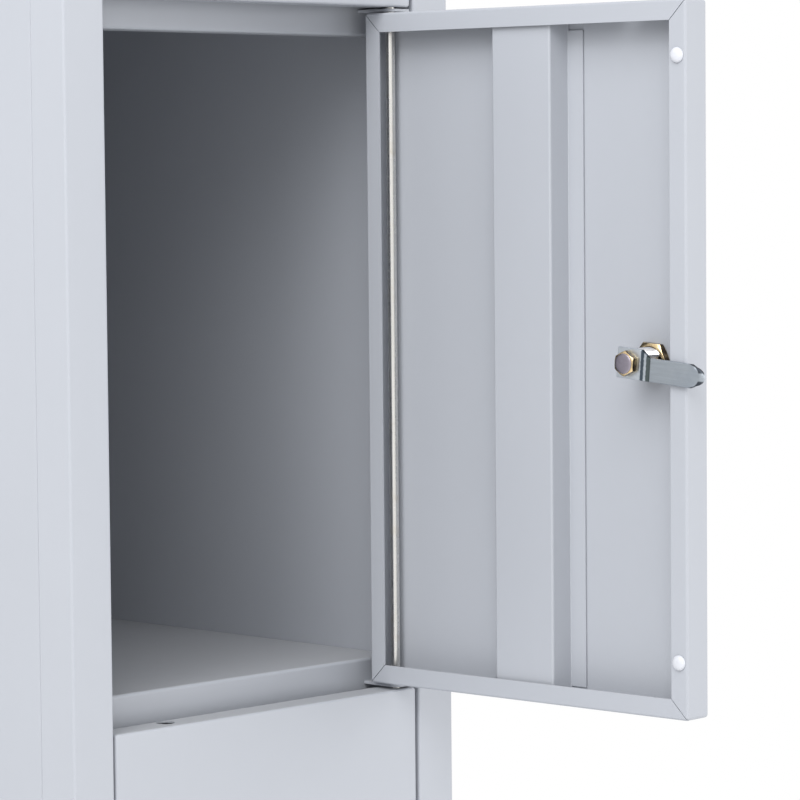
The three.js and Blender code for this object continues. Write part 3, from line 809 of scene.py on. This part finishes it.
def deep_y(deep):
    """A door's own Y, from a depth behind its face."""
    return deep - PIVOT_DEPTH


def door_matrix(door):
    """Where a door stands: its origin is on the hinge axis at its lower edge."""
    pin = Vector(JOINTS[f"{door}_hinge"]["pos_m"])
    axis = Vector(JOINTS[f"{door}_cam_turn"]["axis"])
    swing = math.atan2(-axis.x, axis.y)
    foot = Matrix.Translation((pin.x, pin.y, pin.z - DOOR_HEIGHT / 2))
    return foot @ Matrix.Rotation(swing, 4, "Z")


def lock_matrix(door):
    """A lock's own frame: its axis is Y, and Y is 0 at the door's face."""
    spot = (LOCK_AXIS.x - HINGE.x, deep_y(0.0), LOCK_HEIGHT)
    return door_matrix(door) @ Matrix.Translation(spot)


def turned_matrix(door):
    """A lock's turning parts, from fully thrown to where they rest."""
    short = math.radians(JOINTS[f"{door}_cam_turn"]["range_deg"][1])
    return lock_matrix(door) @ Matrix.Rotation(-short, 4, "Y")


def depths(node):
    """How far a piece of door 1 reaches behind the door's face: its near and far sides."""
    low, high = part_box(node)
    return low.y - PAN_LOW.y, high.y - PAN_LOW.y


# ---------------------------------------------------------------- cabinet


class LOCKER_OT_plinth(bpy.types.Operator):
    """Make the plinth frame and the strap across it"""

    bl_idname = "locker.plinth"
    bl_label = "Plinth"

    def execute(self, context):
        sizes = context.scene.locker_sheet
        low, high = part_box("plinth_frame")
        flange = sizes.plinth_flange
        rise = high.z - low.z
        path = [(flange, rise), (0, rise), (0, 0), (flange, 0)]
        outline = folded(path, sizes.sheet, sizes.bend)
        bm = bmesh.new()
        size = (high.x - low.x, high.y - low.y)
        corner = 2.5 * sizes.tray_corner
        frame_round(bm, outline, size, corner, upright, closed=True)
        mesh = mesh_of("plinth_frame_mesh", bm)
        mesh.transform(Matrix.Translation((0, (low.y + high.y) / 2, low.z)))
        look = ("cabinet", "plinth_paint", "plinth paint")
        stand("plinth_frame", mesh, *look, edge=sizes.edge)
        low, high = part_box("plinth_crossbar")
        near, far, top = low.y, high.y, high.z
        path = [(far, 0), (far, top), (near, top), (near, 0), (far - 2 * sizes.sheet, 0)]
        bm = bmesh.new()
        extrude(bm, folded(path, sizes.sheet, sizes.bend), low.x, high.x, crosswise)
        mesh = mesh_of("plinth_crossbar_mesh", bm)
        stand("plinth_crossbar", mesh, *look, edge=sizes.edge)
        return {"FINISHED"}


class LOCKER_OT_trays(bpy.types.Operator):
    """Make the roof and base trays"""

    bl_idname = "locker.trays"
    bl_label = "Roof and base trays"

    def execute(self, context):
        sizes = context.scene.locker_sheet
        for node, skin_side in (("roof_tray", -1), ("base_tray", 1)):
            low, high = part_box(node)
            path = [(0, high.z - low.z), (0, 0), (SKIN_EDGE, 0)]
            profile = rim(path, sizes.sheet, sizes.bend)
            skin = high.z if skin_side < 0 else low.z
            profile = [(inset, skin + skin_side * depth) for inset, depth in profile]
            size = (high.x - low.x, high.y - low.y)
            bm = bmesh.new()
            frame_round(bm, profile, size, sizes.tray_corner, upright)
            mesh = mesh_of(f"{node}_mesh", bm)
            mesh.transform(Matrix.Translation((0, (low.y + high.y) / 2, 0)))
            painted(node, mesh, sizes.edge)
        return {"FINISHED"}


class LOCKER_OT_side_panels(bpy.types.Operator):
    """Make the two double-skinned side panels"""

    bl_idname = "locker.side_panels"
    bl_label = "Side panels"

    def execute(self, context):
        for node, side in (("side_panel_left", -1), ("side_panel_right", 1)):
            low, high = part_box(node)
            outside = side * HALF_WIDTH
            inside = high.x if side < 0 else low.x
            path = [(outside, high.y), (outside, low.y), (inside, low.y), (inside, high.y)]
            if side > 0:
                path = path[::-1]
            fold_up(node, path, (low.z, high.z), upright)
        return {"FINISHED"}


class LOCKER_OT_back_panel(bpy.types.Operator):
    """Make the riveted back panel"""

    bl_idname = "locker.back_panel"
    bl_label = "Back panel"

    def execute(self, context):
        sizes = context.scene.locker_sheet
        low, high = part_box("back_panel")
        size = (high.x - low.x, high.z - low.z)
        bm = bmesh.new()
        soft, corner = 0.3 * MM, 3 * MM
        profile = [(soft, low.y), (0, low.y + soft), (0, high.y - soft), (soft, high.y)]
        frame_round(bm, profile, size, corner, inward)
        bmesh.ops.translate(bm, verts=bm.verts, vec=(0, 0, (low.z + high.z) / 2))
        radius, rise = sizes.rivet, 0.32 * sizes.rivet
        root = -0.2 * MM
        dome = [(0.0, rise), (0.35 * radius, 0.94 * rise), (0.7 * radius, 0.68 * rise)]
        dome += [(0.93 * radius, 0.3 * rise), (radius, 0.0), (radius, root), (0.0, root)]
        pitch = (high.z - low.z - 2 * sizes.rivet_end) / (sizes.rivet_rows - 1)
        for side in (-1, 1):
            for row in range(sizes.rivet_rows):
                head = bmesh.new()
                lathe(head, dome, 24)
                scratch = bpy.data.meshes.new("rivet")
                head.to_mesh(scratch)
                head.free()
                rise_to = low.z + sizes.rivet_end + pitch * row
                spot = (side * (HALF_WIDTH - sizes.rivet_edge), high.y, rise_to)
                scratch.transform(Matrix.Translation(spot))
                bm.from_mesh(scratch)
                bpy.data.meshes.remove(scratch)
        painted("back_panel", mesh_of("back_panel_mesh", bm), 0.0)
        return {"FINISHED"}


class LOCKER_OT_stiles(bpy.types.Operator):
    """Make the lock-side and hinge-side stiles"""

    bl_idname = "locker.stiles"
    bl_label = "Stiles"

    def cam_slots(self, context):
        """The cutters for the slots that the cams swing through."""
        lock = context.scene.locker_lock
        sheet = context.scene.locker_sheet
        wall = -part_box("stile_hinge_side")[0].x
        edge = wall + sheet.stop_width
        sweep = math.hypot(lock.cam_reach, lock.blade_drop + lock.blade_width / 2)
        play = 4 * MM
        back = FRONT + sheet.stop_depth + 2 * MM
        slot = (wall, -2 * sheet.sheet, lock.seam, lock.blade_face - MM)
        notch = (edge, -sheet.stop_width, MM, sheet.stop_depth - MM)
        cutters = bmesh.new()
        for door in DOORS:
            rise = JOINTS[f"{door}_cam_turn"]["pos_m"][2]
            top = rise + lock.blade_width / 2 + play
            for end, near, far, face in (slot, notch):
                reach = math.sqrt(sweep**2 - (LOCK_AXIS.x - end) ** 2)
                low = (end + near, FRONT + face, rise - reach - play)
                block(cutters, low, (end + far, back, top))
        return cutters

    def execute(self, context):
        sizes = context.scene.locker_sheet
        low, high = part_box("stile_hinge_side")
        edge, depth = low.x, high.y
        ends = (low.z, high.z)
        path = [(edge + sizes.return_width, depth), (edge, depth), (edge, FRONT)]
        path += [(HALF_WIDTH, FRONT), (HALF_WIDTH, depth)]
        fold_up("stile_hinge_side", path, ends, upright)
        stop = FRONT + sizes.stop_depth
        path = [(-HALF_WIDTH, depth), (-HALF_WIDTH, FRONT), (-edge, FRONT)]
        path += [(-edge, stop), (-edge + sizes.stop_width, stop)]
        slots = self.cam_slots(context)
        fold_up("stile_lock_side", path, ends, upright, share_of_edge=0.5, cutters=slots)
        return {"FINISHED"}


class LOCKER_OT_shelves(bpy.types.Operator):
    """Make the floor shelf, the shelves and the head rail"""

    bl_idname = "locker.shelves"
    bl_label = "Shelves and head rail"

    def execute(self, context):
        sizes = context.scene.locker_sheet
        face = FRONT + sizes.rail_depth
        shelves = sorted(node for node in frame["nodes"] if node.startswith("shelf_"))
        for node in ["floor_shelf", *shelves, "head_rail"]:
            low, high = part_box(node)
            under = [(face, low.z), (face + sizes.rail_return, low.z)]
            if node == "head_rail":
                path = [(face + sizes.head_return, high.z), (face, high.z)]
            else:
                path = [(high.y, high.z - sizes.back_flange), (high.y, high.z), (face, high.z)]
            fold_up(node, path + under, (low.x, high.x), crosswise, bend=2.0, steps=5)
        return {"FINISHED"}


class LOCKER_OT_hinges(bpy.types.Operator):
    """Make the hinge rod and its lugs"""

    bl_idname = "locker.hinges"
    bl_label = "Hinge rod and lugs"

    def execute(self, context):
        sizes = context.scene.locker_door
        low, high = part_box("hinge_rod")
        radius = sizes.rod
        chamfer = 0.6 * MM
        profile = [(0.0, low.z), (radius - chamfer, low.z), (radius, low.z + chamfer)]
        profile += [(radius, high.z - chamfer), (radius - chamfer, high.z), (0.0, high.z)]
        bm = bmesh.new()
        lathe(bm, profile, 40)
        mesh = mesh_of("hinge_rod_mesh", bm)
        upright_turn = Matrix.Rotation(math.radians(90), 4, "X")
        mesh.transform(Matrix.Translation((HINGE.x, HINGE.y, 0)) @ upright_turn)
        mesh.flip_normals()
        shaded(mesh)
        stand("hinge_rod", mesh, "cabinet", "zinc", "zinc")
        for node in sorted(name for name in frame["nodes"] if name.startswith("hinge_lug_")):
            low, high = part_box(node)
            corner = 2.5 * MM
            plan = [(high.x, high.y), (low.x, high.y)]
            plan += arc(HINGE.x, HINGE.y, sizes.lug_nose, 180, 12)
            plan += arc(high.x - corner, low.y + corner, corner, 270, 6)
            bm = bmesh.new()
            extrude(bm, plan, low.z, high.z, upright)
            painted(node, mesh_of(f"{node}_mesh", bm), 0.3 * MM)
        return {"FINISHED"}


# ---------------------------------------------------------------- doors


class LOCKER_OT_door_pans(bpy.types.Operator):
    """Make the folded door pans, with mitred lips and drilled walls"""

    bl_idname = "locker.door_pans"
    bl_label = "Door pans"

    def cutters(self, context):
        """What is cut out of a pan: mitre seams, rod holes, lock hole and hanging hole."""
        sheet = context.scene.locker_sheet
        sizes = context.scene.locker_door
        lock = context.scene.locker_lock
        tools = bmesh.new()
        half = sheet.mitre / 2
        seam_low = (-half, DOOR_THICKNESS - 1.6 * sheet.sheet, -1.5 * sizes.lip)
        seam_high = (half, DOOR_THICKNESS + MM, 0.4 * MM)
        for across, up, degrees in ((0, 0, 135), (0, 1, 45), (1, 0, -135), (1, 1, -45)):
            corner = Vector((along_x(across * DOOR_WIDTH), deep_y(0), up * DOOR_HEIGHT))
            turn = Matrix.Rotation(math.radians(degrees), 4, "Y")
            block(tools, seam_low, seam_high, Matrix.Translation(corner) @ turn)
        drill(tools, sizes.rod + 0.3 * MM, -MM, DOOR_HEIGHT + MM, Matrix.Identity(4))
        hang = (along_x(DOOR_WIDTH - sizes.hang_edge), deep_y(sizes.hang_depth), 0)
        top = DOOR_HEIGHT - 2 * MM
        drill(tools, sizes.hang_hole, top, DOOR_HEIGHT + MM, Matrix.Translation(hang))
        axis = Matrix.Translation((LOCK_AXIS.x - HINGE.x, 0, LOCK_HEIGHT))
        facing = Matrix.Rotation(math.radians(-90), 4, "X")
        drill(tools, lock.barrel + lock.seam, deep_y(-MM), deep_y(2 * MM), axis @ facing)
        return tools

    def execute(self, context):
        sheet = context.scene.locker_sheet
        sizes = context.scene.locker_door
        path = [(sizes.lip, DOOR_THICKNESS), (0, DOOR_THICKNESS), (0, 0), (SKIN_EDGE, 0)]
        profile = rim(path, sheet.sheet, sheet.bend)
        bm = bmesh.new()
        frame_round(bm, profile, (DOOR_WIDTH, DOOR_HEIGHT), sheet.corner, inward)
        middle = (along_x(DOOR_WIDTH / 2), deep_y(0), DOOR_HEIGHT / 2)
        bmesh.ops.translate(bm, verts=bm.verts, vec=middle)
        mesh = mesh_of("door_pan_mesh", bm, self.cutters(context))
        on_doors("panel", mesh, "painted_steel", "body paint", door_matrix, 0.1 * MM, 1)
        return {"FINISHED"}


class LOCKER_OT_stiffeners(bpy.types.Operator):
    """Make the hat-section stiffeners welded inside the doors"""

    bl_idname = "locker.stiffeners"
    bl_label = "Door stiffeners"

    def execute(self, context):
        sheet = context.scene.locker_sheet
        sizes = context.scene.locker_door
        low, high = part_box("door_1_stiffener")
        bottom, top = low.z - PAN_LOW.z, high.z - PAN_LOW.z
        foot = low.y - PAN_LOW.y
        near, far = sizes.hat_near, sizes.hat_near + sizes.hat_width
        root_near, root_far = near - sizes.hat_slope, far + sizes.hat_slope
        start, stop = root_near - sizes.hat_flange, root_far + sizes.hat_flange
        level = foot + sheet.sheet
        path = [(start, level), (root_near, level), (near, sizes.hat_height)]
        path += [(far, sizes.hat_height), (root_far, level), (stop, level)]
        path = [(along_x(along), deep_y(deep)) for along, deep in path]
        outline = folded(path, sheet.sheet, sheet.bend)
        bm = bmesh.new()
        extrude(bm, outline, bottom, top, upright)
        tools = bmesh.new()
        clear = 0.4 * MM
        back = deep_y(foot + 1.8 * sheet.sheet)
        cut_ends = ((0, sizes.cut_bottom), (DOOR_HEIGHT - sizes.cut_top, DOOR_HEIGHT))
        flanges = ((start - MM, root_near - clear), (root_far + clear, stop + MM))
        for low_end, high_end in cut_ends:
            for first, last in flanges:
                corner = (along_x(last), deep_y(0), low_end)
                block(tools, corner, (along_x(first), back, high_end))
        mesh = mesh_of("door_stiffener_mesh", bm, tools)
        on_doors("stiffener", mesh, "painted_steel", "body paint", door_matrix, 0.15 * MM, 1)
        return {"FINISHED"}


class LOCKER_OT_buffers(bpy.types.Operator):
    """Make the nylon buffers pressed into the door lips"""

    bl_idname = "locker.buffers"
    bl_label = "Buffers"

    def execute(self, context):
        sizes = context.scene.locker_door
        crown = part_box("door_1_buffer_top")[1].y - PAN_HIGH.y
        radius, shoulder = sizes.buffer, 0.6 * MM
        profile = [(0.0, -4 * MM), (1.5 * MM, -4 * MM), (2.2 * MM, -2.6 * MM), (1.7 * MM, -1.6 * MM)]
        profile += [(1.7 * MM, 0.05 * MM), (radius - 0.2 * MM, 0.05 * MM), (radius, 0.3 * MM)]
        for step in range(1, 10):
            lean = math.radians(90 * step / 9)
            rise = shoulder + (crown - shoulder) * math.sin(lean)
            profile.append((radius * math.cos(lean) ** 0.8 if step < 9 else 0.0, rise))
        bm = bmesh.new()
        lathe(bm, profile, 40)
        mesh = mesh_of("buffer_mesh", bm)
        heights = {"bottom": sizes.buffer_low, "top": DOOR_HEIGHT - sizes.buffer_high}
        for door in DOORS:
            for end, rise in heights.items():
                spot = (along_x(DOOR_WIDTH - sizes.buffer_edge), deep_y(DOOR_THICKNESS), rise)
                matrix = door_matrix(door) @ Matrix.Translation(spot)
                stand(f"{door}_buffer_{end}", mesh, door, "white_nylon", "nylon", matrix)
        return {"FINISHED"}


# ---------------------------------------------------------------- locks


class LOCKER_OT_lock_bodies(bpy.types.Operator):
    """Make the lock heads and their threaded barrels"""

    bl_idname = "locker.lock_bodies"
    bl_label = "Lock bodies"

    def execute(self, context):
        sizes = context.scene.locker_lock
        bore = sizes.plug + 0.2 * MM
        back = -sizes.seam
        face = back - sizes.head_depth
        rounding = 1.6 * MM
        bm = bmesh.new()
        profile = [(bore, face + 0.5 * MM), (bore + 0.3 * MM, face + 0.15 * MM)]
        profile += [(bore + 1.1 * MM, face), (sizes.head - rounding, face)]
        profile += arc(sizes.head - rounding, face + rounding, rounding, -90, 6)
        profile += [(sizes.head, back), (bore, back)]
        lathe(bm, profile, 64, closed=True)
        thread(bm, sizes.barrel, sizes.barrel_flats, back, sizes.barrel_end, sizes.pitch)
        mesh = mesh_of("lock_body_mesh", bm, sharp=50)
        on_doors("lock_body", mesh, "chrome", "chrome", lock_matrix)
        return {"FINISHED"}


class LOCKER_OT_lock_nuts(bpy.types.Operator):
    """Make the large nuts that clamp the locks"""

    bl_idname = "locker.lock_nuts"
    bl_label = "Lock nuts"

    def execute(self, context):
        sizes = context.scene.locker_lock
        bm = bmesh.new()
        hex_nut(bm, sizes.lock_nut, sizes.barrel + 0.1 * MM, *depths("door_1_lock_nut"))
        mesh = mesh_of("lock_nut_mesh", bm)
        mesh.transform(Matrix.Rotation(sizes.lock_nut_turn, 4, "Y"))
        on_doors("lock_nut", mesh, "brass", "brass", lock_matrix, 0.15 * MM)
        return {"FINISHED"}


class LOCKER_OT_lock_plugs(bpy.types.Operator):
    """Make the turning plugs with their keyways and studs"""

    bl_idname = "locker.lock_plugs"
    bl_label = "Lock plugs"

    def execute(self, context):
        sizes = context.scene.locker_lock
        face, end = depths("door_1_lock_plug")
        shoulder = sizes.base_face - sizes.seam
        plug, stud = sizes.plug, sizes.stud
        profile = [(0.0, face), (plug - 0.5 * MM, face), (plug, face + 0.5 * MM)]
        nut_face = depths("door_1_cam_nut")[1] + 0.05 * MM
        cap, rise = sizes.stud_cap, end - nut_face
        profile += [(plug, shoulder), (stud, shoulder), (stud, nut_face), (cap, nut_face)]
        profile += [(cap, nut_face + 0.4 * rise), (0.95 * cap, nut_face + 0.7 * rise)]
        profile += [(0.84 * cap, nut_face + 0.9 * rise), (0.6 * cap, end), (0.0, end)]
        bm = bmesh.new()
        lathe(bm, profile, 48)
        tools = bmesh.new()
        half = sizes.keyway / 2
        slit = sizes.keyway_width / 2
        block(tools, (-half, face - MM, -slit), (half, face + 5 * MM, slit))
        mesh = mesh_of("lock_plug_mesh", bm, tools)
        look = ("dark_bronze", "dark bronze", turned_matrix)
        on_doors("lock_plug", mesh, *look, 0.1 * MM, 1, turning=True)
        return {"FINISHED"}


class LOCKER_OT_cams(bpy.types.Operator):
    """Make the joggled cams"""

    bl_idname = "locker.cams"
    bl_label = "Cams"

    def outline(self, sizes):
        """The cam's face: a square base and a narrower blade with a rounded, clipped tip."""
        top = sizes.base_height / 2
        high = -sizes.blade_drop + sizes.blade_width / 2
        low = -sizes.blade_drop - sizes.blade_width / 2
        tail, neck, tip = sizes.base_tail, -sizes.joggle, -sizes.cam_reach
        shoulder = neck - sizes.joggle_length
        rounding, bevel = sizes.tip_round, sizes.tip_bevel
        points = [(tail, -top), (tail, top), (neck, top), (shoulder, high)]
        points.append((tip + rounding + bevel, high))
        nose = Vector((tip, (high + low) / 2))
        above = (Vector((tip + rounding, high - bevel / 2)), Vector((tip, high - rounding / 2)), nose)
        below = (nose, Vector((tip, low + rounding / 2)), Vector((tip + rounding, low + bevel / 2)))
        for first_step, (start, pull, end) in ((0, above), (1, below)):
            for step in range(first_step, 9):
                part = step / 8
                spot = (1 - part) ** 2 * start + 2 * part * (1 - part) * pull + part**2 * end
                points.append(tuple(spot))
        points += [(tip + rounding + bevel, low), (shoulder, low), (neck, -top)]
        return points

    def execute(self, context):
        sizes = context.scene.locker_lock
        bm = bmesh.new()
        near, far = sizes.base_face, sizes.base_face + sizes.cam_sheet
        worked = sizes.tip_round + sizes.tip_bevel
        middle = Vector((worked - sizes.cam_reach, -sizes.blade_drop))
        rings = [[], [], []]
        for x, z in self.outline(sizes):
            part = max(0.0, min(1.0, (middle.x - x) / worked)) ** 0.5
            inner = Vector((x, z))
            inner += (middle - inner).normalized() * sizes.tip_slope * part
            rings[0].append(bm.verts.new((x, near, z)))
            rings[1].append(bm.verts.new((x, far - sizes.tip_fall * part, z)))
            rings[2].append(bm.verts.new((inner.x, far, inner.y)))
        join_rings(bm, rings, False)
        bm.faces.new(rings[0][::-1])
        bm.faces.new(rings[2])
        bmesh.ops.remove_doubles(bm, verts=bm.verts, dist=0.01 * MM)
        bmesh.ops.recalc_face_normals(bm, faces=bm.faces)
        bend_start, bend_length = MM - sizes.joggle, sizes.joggle_length + 2 * MM
        for step in range(7):
            cut = bend_start - bend_length * step / 6
            geometry = bm.verts[:] + bm.edges[:] + bm.faces[:]
            bmesh.ops.bisect_plane(bm, geom=geometry, plane_co=(cut, 0, 0), plane_no=(1, 0, 0))
        step_down = sizes.base_face - sizes.blade_face
        for vert in bm.verts:
            part = max(0.0, min(1.0, (bend_start - vert.co.x) / bend_length))
            vert.co.y -= step_down * part * part * (3 - 2 * part)
        mesh = mesh_of("cam_mesh", bm, sharp=28)
        look = ("cam_steel", "cam steel", turned_matrix)
        on_doors("cam", mesh, *look, 0.35 * MM, 3, turning=True)
        return {"FINISHED"}


class LOCKER_OT_cam_nuts(bpy.types.Operator):
    """Make the small nuts that hold the cams"""

    bl_idname = "locker.cam_nuts"
    bl_label = "Cam nuts"

    def execute(self, context):
        sizes = context.scene.locker_lock
        bm = bmesh.new()
        hex_nut(bm, sizes.cam_nut, sizes.stud + 0.1 * MM, *depths("door_1_cam_nut"))
        mesh = mesh_of("cam_nut_mesh", bm)
        on_doors("cam_nut", mesh, "brass", "brass", turned_matrix, 0.15 * MM, turning=True)
        return {"FINISHED"}


# ---------------------------------------------------------------- stage


class LOCKER_OT_stage(bpy.types.Operator):
    """Make the floor, the lights and the camera"""

    bl_idname = "locker.stage"
    bl_label = "Stage"

    def softbox(self, name, place, aim, size, watts):
        """A large soft light at a place, turned towards a point."""
        lamp = bpy.data.lights.new(name, "AREA")
        lamp.shape = "SQUARE"
        lamp.size = size
        lamp.energy = watts
        holder = bpy.data.objects.new(name, lamp)
        direction = Vector(aim) - Vector(place)
        turn = direction.to_track_quat("-Z", "Y").to_matrix().to_4x4()
        holder.matrix_world = Matrix.Translation(place) @ turn
        bpy.context.scene.collection.objects.link(holder)

    def execute(self, context):
        scene = context.scene
        stage = scene.locker_stage
        bm = bmesh.new()
        rings = []
        sides = 96
        for reach in (0.25, 0.5, 0.75, 1.0):
            ring = []
            for side in range(sides):
                turn = math.tau * side / sides
                radius = reach * stage.floor_size
                ring.append(bm.verts.new((radius * math.cos(turn), radius * math.sin(turn), 0)))
            rings.append(ring)
        join_rings(bm, rings, False)
        bm.faces.new(rings[0])
        mesh = mesh_of("floor_mesh", bm)
        mesh.materials.append(finish("floor"))
        floor = bpy.data.objects.new("floor", mesh)
        scene.collection.objects.link(floor)
        world = bpy.data.worlds.new("surround")
        world.use_nodes = True
        surround = world.node_tree.nodes["Background"]
        surround.inputs["Color"].default_value = (1.0, 1.0, 1.0, 1.0)
        surround.inputs["Strength"].default_value = stage.sky
        scene.world = world
        aim = (0.0, -0.25, 1.15)
        self.softbox("key", (-1.74, -1.47, 3.27), aim, 1.9, stage.key)
        self.softbox("side", (-2.56, -0.7, 2.65), aim, 1.6, stage.side)
        self.softbox("fill", (1.5, -2.85, 1.15), aim, 1.6, stage.fill)
        lens = bpy.data.cameras.new("camera")
        lens.lens = stage.lens
        lens.sensor_width = 36.0
        lens.clip_start = 0.05
        lens.clip_end = 60.0
        holder = bpy.data.objects.new("camera", lens)
        turn = Matrix.Rotation(-stage.heading, 4, "Z")
        turn = turn @ Matrix.Rotation(math.radians(90) - stage.dip, 4, "X")
        turn = turn @ Matrix.Rotation(stage.roll, 4, "Z")
        holder.matrix_world = Matrix.Translation(stage.place) @ turn
        scene.collection.objects.link(holder)
        scene.camera = holder
        scene.view_settings.view_transform = "Standard"
        return {"FINISHED"}


PIECES = (
    LOCKER_OT_plinth,
    LOCKER_OT_trays,
    LOCKER_OT_side_panels,
    LOCKER_OT_back_panel,
    LOCKER_OT_stiles,
    LOCKER_OT_shelves,
    LOCKER_OT_hinges,
    LOCKER_OT_door_pans,
    LOCKER_OT_stiffeners,
    LOCKER_OT_buffers,
    LOCKER_OT_lock_bodies,
    LOCKER_OT_lock_nuts,
    LOCKER_OT_lock_plugs,
    LOCKER_OT_cams,
    LOCKER_OT_cam_nuts,
    LOCKER_OT_stage,
)


class LOCKER_PT_panel(bpy.types.Panel):
    """Lists the locker's pieces and settings"""

    bl_idname = "LOCKER_PT_panel"
    bl_label = "Parcel locker"
    bl_space_type = "VIEW_3D"
    bl_region_type = "UI"
    bl_category = "Locker"

    def draw(self, context):
        layout = self.layout
        for piece in PIECES:
            layout.operator(piece.bl_idname)
        for settings in SETTINGS:
            box = layout.box()
            group = getattr(context.scene, settings)
            for name in group.__annotations__:
                box.prop(group, name)


SETTINGS = {
    "locker_sheet": LockerSheetSizes,
    "locker_door": LockerDoorSizes,
    "locker_lock": LockerLockSizes,
    "locker_colours": LockerColours,
    "locker_stage": LockerStageSettings,
}
CLASSES = (*SETTINGS.values(), *PIECES, LOCKER_PT_panel)


def register():
    """Adds the locker's classes and settings."""
    for each in CLASSES:
        bpy.utils.register_class(each)
    for name, group in SETTINGS.items():
        setattr(bpy.types.Scene, name, bpy.props.PointerProperty(type=group))


def unregister():
    """Takes the locker's classes and settings away."""
    for name in SETTINGS:
        delattr(bpy.types.Scene, name)
    for each in reversed(CLASSES):
        bpy.utils.unregister_class(each)


def main():
    """Builds the whole locker."""
    register()
    for piece in PIECES:
        group, name = piece.bl_idname.split(".")
        getattr(getattr(bpy.ops, group), name)()
    bpy.context.view_layer.update()


if __name__ == "__main__":
    main()
